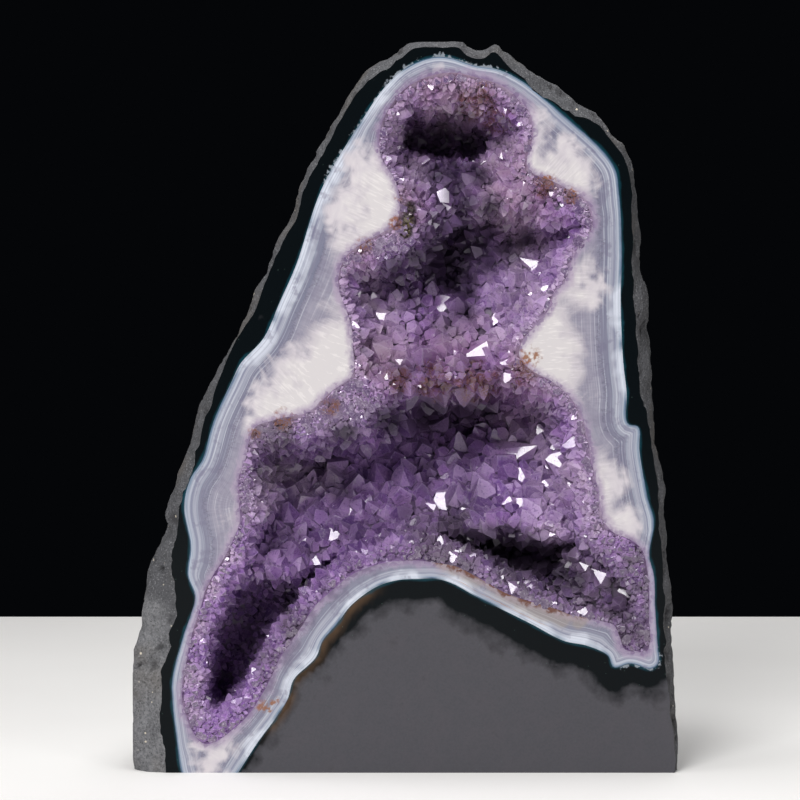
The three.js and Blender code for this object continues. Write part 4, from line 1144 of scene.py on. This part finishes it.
def quartz_point(pick, ends=6, uneven=1.0):
    """One quartz crystal of radius 1 along Z: a short prism and its three or six end faces."""
    bm = bmesh.new()
    bmesh.ops.create_cube(bm, size=8)
    shoulder = pick.uniform(0.0, 0.5)
    for side in range(6):
        turn = side * pi / 3
        out = Vector((cos(turn), sin(turn), 0))
        cut_flat(bm, out * (1 - uneven * pick.uniform(-0.05, 0.2)), out, 0)
        small = uneven * (side % 2) * pick.uniform(0.1, 0.6)
        height = shoulder + small + uneven * pick.uniform(-0.15, 0.15)
        if ends == 6 or side % 2 == 0:
            away = out * sin(END_SLOPE) + Vector((0, 0, cos(END_SLOPE)))
            cut_flat(bm, out + Vector((0, 0, height)), away, 0)
    base, = cut_flat(bm, (0, 0, -FOOT), (0, 0, -1), 0)
    for vert in base.verts:
        vert.co.x, vert.co.y = 0.5 * vert.co.x, 0.5 * vert.co.y
    # 1 at the crystal's corners, where its painted highlight is laid, and 0 in the middles of six end faces.
    edge = bm.verts.layers.float.new("edge")
    for vert in bm.verts:
        vert[edge] = 1.0
    # A random number for each face, from -1 to 1: above nothing the face gets painted light, below it painted
    # shade.
    facet = bm.faces.layers.float.new("facet")
    for face in bm.faces:
        face[facet] = pick.uniform(-1, 1)
    if ends == 6:
        slopes = [face for face in bm.faces if face.normal.z > 0.3]
        for vert in bmesh.ops.poke(bm, faces=slopes)["verts"]:
            vert[edge] = 0.0
    bmesh.ops.recalc_face_normals(bm, faces=bm.faces)
    mesh = bpy.data.meshes.new("quartz_point")
    bm.to_mesh(mesh)
    bm.free()
    heights = positions(mesh)[:, 2] * MM
    give(mesh, "tip", (heights + FOOT) / (heights.max() + FOOT))
    return mesh


def shapes_of(pick, ends):
    """A collection of crystals that differ, for the scatter to pick from."""
    shapes = bpy.data.collections.new("quartz_points")
    for _ in range(SHAPES):
        shapes.objects.link(bpy.data.objects.new("quartz_point", quartz_point(pick, ends)))
    return shapes


SCATTER_INPUTS = [
    ("Radius", "NodeSocketFloat"), ("Spacing", "NodeSocketFloat"), ("Density", "NodeSocketFloat"),
    ("Lean", "NodeSocketFloat"), ("Seed", "NodeSocketInt"),
]
# Each crystal's turn, size, slenderness and tint: least, most and seed.
SCATTER_DRAWS = [(0, 2 * pi, 12), (0.7, 1.25, 13), (0.85, 1.35, 14), (0, 1, 16)]
TRIED = 3  # points tried for each square of the spacing


def scatter_tree(shapes, material):
    """Geometry nodes that stand crystals on a wall, none nearer to the next than a distance."""
    tree = bpy.data.node_groups.new("crystal_scatter", "GeometryNodeTree")
    face = tree.interface
    face.new_socket("Geometry", in_out="INPUT", socket_type="NodeSocketGeometry")
    for name, kind in SCATTER_INPUTS:
        face.new_socket(name, in_out="INPUT", socket_type=kind)
    face.new_socket("Geometry", in_out="OUTPUT", socket_type="NodeSocketGeometry")
    named = tree.nodes.new("NodeGroupInput").outputs
    where = add(tree, "GeometryNodeInputNamedAttribute", {"Name": "where"}, data_type="FLOAT")
    points = add(tree, "GeometryNodeDistributePointsOnFaces", {
        "Mesh": named["Geometry"], "Distance Min": named["Spacing"], "Density Max": named["Density"],
        "Density Factor": where, "Seed": named["Seed"],
    }, distribute_method="POISSON")

    # Each crystal grows away from the wall and a little forwards, leans at random and is turned on its axis.
    spin, size, tall, tint = [
        add(tree, "FunctionNodeRandomValue", {2: least, 3: most, "Seed": seed}, data_type="FLOAT")
        for least, most, seed in SCATTER_DRAWS
    ]
    grow = add(tree, "GeometryNodeInputNamedAttribute", {"Name": "grow"}, data_type="FLOAT_VECTOR")
    lean = add(tree, "FunctionNodeRandomValue", {0: (-1, -1, -1), 1: (1, 1, 1), "Seed": named["Seed"]},
               data_type="FLOAT_VECTOR")
    lean = add(tree, "ShaderNodeVectorMath", {0: lean, "Scale": named["Lean"]}, operation="SCALE")
    aim = add(tree, "ShaderNodeVectorMath", {0: grow, 1: lean})
    upright = add(tree, "FunctionNodeAlignRotationToVector", {"Vector": aim}, axis="Z")
    spin = add(tree, "ShaderNodeCombineXYZ", {"Z": spin})
    spin = add(tree, "FunctionNodeEulerToRotation", {0: spin})
    turned = add(tree, "FunctionNodeRotateRotation", {0: upright, 1: spin}, rotation_space="LOCAL")
    size = add(tree, "ShaderNodeMath", {0: size, 1: named["Radius"]}, operation="MULTIPLY")
    tall = add(tree, "ShaderNodeMath", {0: size, 1: tall}, operation="MULTIPLY")
    scale = add(tree, "ShaderNodeCombineXYZ", {"X": size, "Y": size, "Z": tall})

    kinds = add(tree, "GeometryNodeCollectionInfo",
                {"Collection": shapes, "Separate Children": True, "Reset Children": True})
    which = add(tree, "FunctionNodeRandomValue", {4: 0, 5: SHAPES - 1, "Seed": 15}, data_type="INT")
    stood = add(tree, "GeometryNodeInstanceOnPoints", {
        "Points": points, "Instance": kinds, "Pick Instance": True, "Instance Index": which,
        "Rotation": turned, "Scale": scale,
    })
    tinted = add(tree, "GeometryNodeStoreNamedAttribute", {"Geometry": stood, "Name": "tint", "Value": tint},
                 data_type="FLOAT", domain="INSTANCE")
    real = add(tree, "GeometryNodeRealizeInstances", {0: tinted})
    coated = add(tree, "GeometryNodeSetMaterial", {"Geometry": real, "Material": material})
    add(tree, "NodeGroupOutput", {0: coated})
    return tree


def grown(bed, tree, values):
    """The plain mesh of what the scatter grows on a bed."""
    holder = bpy.data.objects.new("bed", bed)
    bpy.context.scene.collection.objects.link(holder)
    modifier = holder.modifiers.new("crystals", "NODES")
    modifier.node_group = tree
    for item in tree.interface.items_tree:
        if item.in_out == "INPUT" and item.name in values:
            modifier[item.identifier] = values[item.name]
    graph = bpy.context.evaluated_depsgraph_get()
    mesh = bpy.data.meshes.new_from_object(holder.evaluated_get(graph))
    mesh.materials.clear()
    bpy.data.objects.remove(holder)
    return mesh


STAGGER = 0.12  # mm, by which the sawn crystals' cuts lie behind each other at most


def sawn_off(mesh):
    """Crystals cut flat in the sawn face. Those that the saw would meet outside the crust are left out."""
    points = positions(mesh)
    beyond = points[:, 1] < FACE_Y
    outside = to_outline(ROOT_EDGE, points[:, 0], points[:, 2])[0] < 0
    bm = bmesh.new()
    bm.from_mesh(mesh)
    bm.verts.ensure_lookup_table()
    doomed, stack = set(), [bm.verts[i] for i in np.flatnonzero(beyond & outside)]
    while stack:
        vert = stack.pop()
        if vert not in doomed:
            doomed.add(vert)
            stack += [edge.other_vert(vert) for edge in vert.link_edges]
    bmesh.ops.delete(bm, geom=list(doomed), context="VERTS")
    pick = np.random.default_rng(9)
    for cap in cut_flat(bm, (0, FACE_Y * MM, 0), (0, -1, 0), 1):
        back = pick.uniform(0.0, STAGGER) * MM
        for vert in cap.verts:
            vert.co.y += back
    bm.to_mesh(mesh)
    bm.free()
    return mesh


FORWARD = 0.35  # how far crystals turn towards the open face

# Crystals with a face that mirrors the main light: x, z and radius in mm, and which way it leans, in degrees.
MIRRORS = [
    (48.2, 129.6, 7.5, 250), (38, 131.3, 3, 40), (42.6, 135.2, 3.4, 300), (55, 135, 3, 200),
    (49.2, 119.2, 4.4, 170), (60.3, 123, 3, 20), (57.6, 115.6, 2.8, 90), (42.6, 110, 2.8, 75),
    (47.5, 109.4, 2.8, 65), (40.7, 104.2, 2.4, 50), (16, 108.8, 5.5, 130), (10.5, 107.5, 2.4, 20),
    (24.3, 106.8, 2.6, 80), (70, 116.6, 2.4, 0), (62.8, 138, 2.4, 0), (49.2, 144.3, 3, 200),
    (-24.3, 104.6, 3.2, 260), (-31.4, 95.2, 4.4, 220), (-51, 114.4, 3.6, 310), (16.4, 192.4, 5.2, 0),
    (30, 173, 5.4, 60), (19.6, 173, 2.6, 10), (51.3, 211.2, 3.4, 10), (54, 209.8, 3, 350),
    (-12.9, 193.2, 4, 240), (-8.6, 187.4, 4, 250), (-13.4, 201, 3, 0), (15.3, 238.7, 4.6, 300),
    (16.4, 234, 2.4, 0), (24, 232, 3.2, 270), (7, 253.5, 2.6, 220), (26.2, 269.2, 3, 180),
    (40.3, 254.3, 2.4, 90), (37.6, 186, 2.6, 120), (68.4, 88, 2.8, 0), (73.3, 84.9, 2.2, 10),
    (79.8, 81, 3.8, 10), (90.9, 73.2, 3, 180), (19.1, 89.1, 2.6, 0), (43, 77.4, 2.4, 0),
    (50.6, 76.7, 2.4, 40), (-1.5, 168.6, 3, 20),
]
MIRROR_FREE = (0.9, 1.4)  # of a mirror's radius round it, from where on other crystals may stand
MIRROR_FACE = (0.6, 0, 0.9)  # the middle of its first end face, of radius 1
MIRROR_TINT = 0.55


def mirror_place(x, z, radius):
    """The middle of a mirror's face, a little in front of the wall and behind the sawn face."""
    depth = hollow_depth(np.array([x]), np.array([z]))[0]
    return Vector((x, FACE_Y + max(depth - 0.4 * radius - 2, 0.6 * radius), z))


def off_mirrors(points):
    """From 0 to 1, how free places are of the mirrors' crystals."""
    free = np.ones(len(points))
    for x, z, radius, _ in MIRRORS:
        away = np.linalg.norm(points - mirror_place(x, z, radius), axis=1)
        free = np.minimum(free, smoothstep(away / radius, *MIRROR_FREE))
    return free


def mirror_points(pick):
    """The mirrors' crystals, each turned so that its first end face throws the main light to the camera."""
    parts = []
    for x, z, radius, lean in MIRRORS:
        place = mirror_place(x, z, radius)
        aim = (camera_place() / MM - place).normalized() + (Vector(KEY_PLACE) / MM - place).normalized()
        aim.normalize()
        side = Quaternion(aim, radians(lean)) @ aim.orthogonal()
        axis = Quaternion(side, END_SLOPE) @ aim
        across = (aim - aim.dot(axis) * axis).normalized()
        turn = Matrix((across, axis.cross(across), axis)).transposed()
        mesh = quartz_point(pick, uneven=pick.choice([0.0, 1.0]))
        points = positions(mesh) * MM * radius
        middle = turn @ Vector(MIRROR_FACE) * radius
        points = points @ np.array(turn).T - np.array(middle)
        long = np.array(Quaternion(aim, pick.uniform(0, pi)) @ aim.orthogonal().normalized())
        points += np.outer(points @ long, long) * pick.uniform(0, 0.6) + np.array(place)
        parts.append((points, [tuple(side.vertices) for side in mesh.polygons], mesh))
    joined = mesh_of("mirror_points", [(points, sides, 0) for points, sides, _ in parts])
    for name in ("tip", "edge"):
        give(joined, name, np.concatenate([
            [item.value for item in mesh.attributes[name].data] for _, _, mesh in parts
        ]))
    give(joined, "tint", np.full(len(joined.vertices), MIRROR_TINT))
    return joined


# Large crystals grow deep in the lower and middle chambers: mm behind the face, mm inside the mouth, and the
# heights over which they set in and end. Low and high up, where the hollow is narrow, few middling ones grow.
ROOM_DEPTH, ROOM_INSIDE, ROOM_LOW, ROOM_HIGH = (10, 22), (4, 13), (84, 92), (196, 208)
NARROW_LOW, NARROW_HIGH = (66, 84), (238, 250)
MIDDLING_DEPTH = (4, 9)  # mm behind the face
FEWER_LARGE = (150, 170)  # heights over which large crystals get fewer
SAWN_DEPTH = (3, 8)  # mm behind the face over which the sawn crystals end
GROWN_DEPTH = (-0.6, 0.8)  # mm behind the face over which crystals set in
SPLIT = (145, 147)  # heights between which the small crystals change from one piece to the next
WALL_LOOKS = [("tip", 0.3), ("tint", 0.2), ("edge", 0.5)]  # what the crystals' attributes are on the wall


class CATHEDRAL_OT_amethyst(bpy.types.Operator):
    """Make the crust of amethyst crystals over the whole hollow"""

    bl_idname = "cathedral.amethyst"
    bl_label = "Amethyst"

    def execute(self, context):
        settings = context.scene.cathedral.crystals
        material, cut = amethyst(settings), sawn_amethyst(settings)
        bed = crystal_bed()
        points = positions(bed)
        normals = np.array([v.normal for v in bed.vertices])
        if normals[:, 1].mean() > 0:
            bed.flip_normals()
            normals = -normals
        grow = normals + [0, -FORWARD, 0]
        layer = bed.attributes.new("grow", "FLOAT_VECTOR", "POINT")
        layer.data.foreach_set("vector", grow.astype(np.float32).ravel())

        back, back_sides = filled([ROOT_EDGE], BACK_CELL)
        bed_sides = welded(points, np.array([tuple(p.vertices) for p in bed.polygons]))
        flat = (points[bed_sides, 1] < FACE_Y + 3 * RELIEF).all(axis=1)
        wall = mesh_of("crust_wall", [
            (points, bed_sides[~flat], 0),
            (points, bed_sides[flat], 1),
            (behind_face(back, RELIEF + crust_back(*back.T)), back_sides, 0),
        ])
        closed(wall)
        for name, value in WALL_LOOKS:
            give(wall, name, np.full(len(wall.vertices), value))
        quartz_colours(wall)
        spots = positions(wall)
        # Painted shade in the gaps between the crystals: the bare wall is darkened, more where it lies deeper
        # behind the face.
        give(wall, "shade", 0.45 + 0.4 * smoothstep(spots[:, 1] - FACE_Y, 0, 5))
        piece("crust_wall", wall, [material, cut], "amethyst_crust")

        inside = to_outline(MOUTH_EDGE, points[:, 0], points[:, 2])[0]
        depth = points[:, 1] - FACE_Y
        height = points[:, 2]
        roomy = smoothstep(depth, *ROOM_DEPTH) * smoothstep(inside, *ROOM_INSIDE)
        roomy = roomy * smoothstep(height, *ROOM_LOW) * (1 - smoothstep(height, *ROOM_HIGH))
        tight = np.maximum(smoothstep(height, *NARROW_HIGH), 1 - smoothstep(height, *NARROW_LOW))
        middling = (1 - 0.85 * tight) * smoothstep(depth, *MIDDLING_DEPTH)
        grown_on = smoothstep(depth, *GROWN_DEPTH)
        rim = grown_on * (1 - smoothstep(depth, *SAWN_DEPTH))
        coarse = scatter_tree(shapes_of(np.random.default_rng(settings.seed), 6), material)
        fine = scatter_tree(shapes_of(np.random.default_rng(settings.seed + 1), 3), material)
        high = 0.6 * smoothstep(height, *FEWER_LARGE)
        little = grown_on * (1 - 0.8 * roomy)
        upper = smoothstep(height, *SPLIT)

        # Each layer of crystals: name, scatter, where it grows, radius, spacing in radii, and lean.
        layers = [
            ("large_points", coarse, roomy * (1 - high), settings.large, 1.2, 0.35),
            ("medium_points", coarse, middling, settings.medium, 1.2, 0.4),
            ("small_points_below", coarse, little * (1 - upper), settings.small, 1.2, 0.5),
            ("sawn_points", fine, rim, settings.sawn, 1.3, 0.6),
            ("small_points_above", coarse, little * upper, settings.small, 1.2, 0.5),
        ]
        free = off_mirrors(points)
        for number, (name, tree, where, radius, spacing, lean) in enumerate(layers):
            give(bed, "where", where * free)
            gap = spacing * radius
            mesh = grown(bed, tree, {
                "Radius": radius, "Spacing": gap, "Density": TRIED / gap ** 2, "Lean": lean,
                "Seed": settings.seed + number,
            })
            sawn_off(mesh)
            quartz_colours(mesh)
            piece(name, mesh, [material, cut], "amethyst_crust")
        mirrors = closed(mirror_points(np.random.default_rng(settings.seed + 9)))
        sawn_off(mirrors)
        quartz_colours(mirrors)
        piece("mirror_points", mirrors, [material, cut], "amethyst_crust")
        return {"FINISHED"}


# Stage

PICTURE_WIDTH = 0.3275  # metres of the sawn face's plane that the picture takes in
PICTURE_MIDDLE = (-0.0023, 0.1535)  # x and z there at the picture's middle
SENSOR = 36.0  # mm
FLOOR_BEHIND = 0.42  # how far behind the stone the floor ends
FLOOR_REACH = 3  # how far it reaches to the other sides
CAMERA_HEIGHT = 0.19
KEY_PLACE = (-0.5, -1.35, 1.0)
FACE_MIDDLE = (0, FACE_Y * MM, 0.15)

# Each light's place, what it points at, its width and height, and its share of the main light's power.
LIGHTS = [
    ("key", KEY_PLACE, FACE_MIDDLE, (0.62, 0.62), 1),
    ("fill", (0.9, -1.2, 0.6), FACE_MIDDLE, (0.4, 0.4), 0.12),
    ("top", (-0.1, -0.12, 1.35), (-0.1, -0.1, 0.0), (0.9, 0.5), 0.62),
    ("back", (0.5, 1.4, 0.9), FACE_MIDDLE, (1.0, 0.8), 0.2),
]


def camera_place():
    away = PICTURE_WIDTH * bpy.context.scene.cathedral.stage.lens / SENSOR
    return Vector((PICTURE_MIDDLE[0], FACE_Y * MM - away, CAMERA_HEIGHT))


def area_light(name, place, target, size, power):
    light = bpy.data.lights.new(name, "AREA")
    light.shape = "RECTANGLE"
    light.size, light.size_y = size
    light.energy = power
    lamp = bpy.data.objects.new(name, light)
    lamp.location = place
    lamp.rotation_euler = (Vector(target) - Vector(place)).to_track_quat("-Z", "Y").to_euler()
    bpy.context.scene.collection.objects.link(lamp)


def floor_material(settings):
    """Painted board, matt: plain and pale, with a faint cloudiness."""
    material, tree, shader, place = new_material("floor_paint")
    cloud = add(tree, "ShaderNodeTexNoise", {"Vector": place, "Scale": per_metre(400), "Detail": 3})
    colour = painted(tree, settings.floor, [(cloud, 0.4, 0.8, 0.25, linear("#d2cfcd"))])
    plug(tree, shader, {"Base Color": colour, "Roughness": 0.7})
    return material


class CATHEDRAL_OT_stage(bpy.types.Operator):
    """Make the floor, the lights and the camera"""

    bl_idname = "cathedral.stage"
    bl_label = "Stage"

    def execute(self, context):
        settings = context.scene.cathedral.stage
        mesh = bpy.data.meshes.new("floor")
        far = HIGH[1] * MM + FLOOR_BEHIND
        corners = [(x, y, 0) for x, y in product((-FLOOR_REACH, FLOOR_REACH), (-FLOOR_REACH, far))]
        mesh.from_pydata(corners, [], [(0, 2, 3, 1)])
        mesh.materials.append(floor_material(settings))
        floor = bpy.data.objects.new("floor", mesh)
        context.scene.collection.objects.link(floor)

        world = bpy.data.worlds.new("dark_room")
        world.use_nodes = True
        world.node_tree.nodes["Background"].inputs["Color"].default_value = settings.backdrop
        context.scene.world = world
        for name, place, target, size, share in LIGHTS:
            area_light(name, place, target, size, share * settings.key)

        lens = bpy.data.cameras.new("camera")
        lens.lens = settings.lens
        lens.sensor_width = SENSOR
        camera = bpy.data.objects.new("camera", lens)
        camera.location = camera_place()
        view = Vector((PICTURE_MIDDLE[0], FACE_Y * MM, PICTURE_MIDDLE[1])) - camera.location
        camera.rotation_euler = view.to_track_quat("-Z", "Y").to_euler()
        context.scene.collection.objects.link(camera)
        context.scene.camera = camera
        context.scene.view_settings.view_transform = "Standard"
        return {"FINISHED"}


class CATHEDRAL_PT_panel(bpy.types.Panel):
    """Lists the stone's pieces and their settings"""

    bl_idname = "CATHEDRAL_PT_panel"
    bl_label = "Amethyst cathedral"
    bl_space_type = "VIEW_3D"
    bl_region_type = "UI"
    bl_category = "Cathedral"

    def draw(self, context):
        settings = context.scene.cathedral
        groups = [
            ("cathedral.basalt", settings.stone), ("cathedral.agate", settings.agate),
            ("cathedral.amethyst", settings.crystals), ("cathedral.stage", settings.stage),
        ]
        for operator, group in groups:
            box = self.layout.box()
            box.operator(operator)
            for name in group.bl_rna.properties.keys():
                if name not in ("rna_type", "name"):
                    box.prop(group, name)


CLASSES = [
    StoneSettings, AgateSettings, CrystalSettings, StageSettings, CathedralSettings,
    CATHEDRAL_OT_basalt, CATHEDRAL_OT_agate, CATHEDRAL_OT_amethyst, CATHEDRAL_OT_stage, CATHEDRAL_PT_panel,
]


def register():
    for cls in CLASSES:
        bpy.utils.register_class(cls)
    bpy.types.Scene.cathedral = PointerProperty(type=CathedralSettings)


def unregister():
    del bpy.types.Scene.cathedral
    for cls in reversed(CLASSES):
        bpy.utils.unregister_class(cls)


def main():
    register()
    for make in (bpy.ops.cathedral.stage, bpy.ops.cathedral.basalt, bpy.ops.cathedral.agate,
                 bpy.ops.cathedral.amethyst):
        make()


if __name__ == "__main__":
    main()
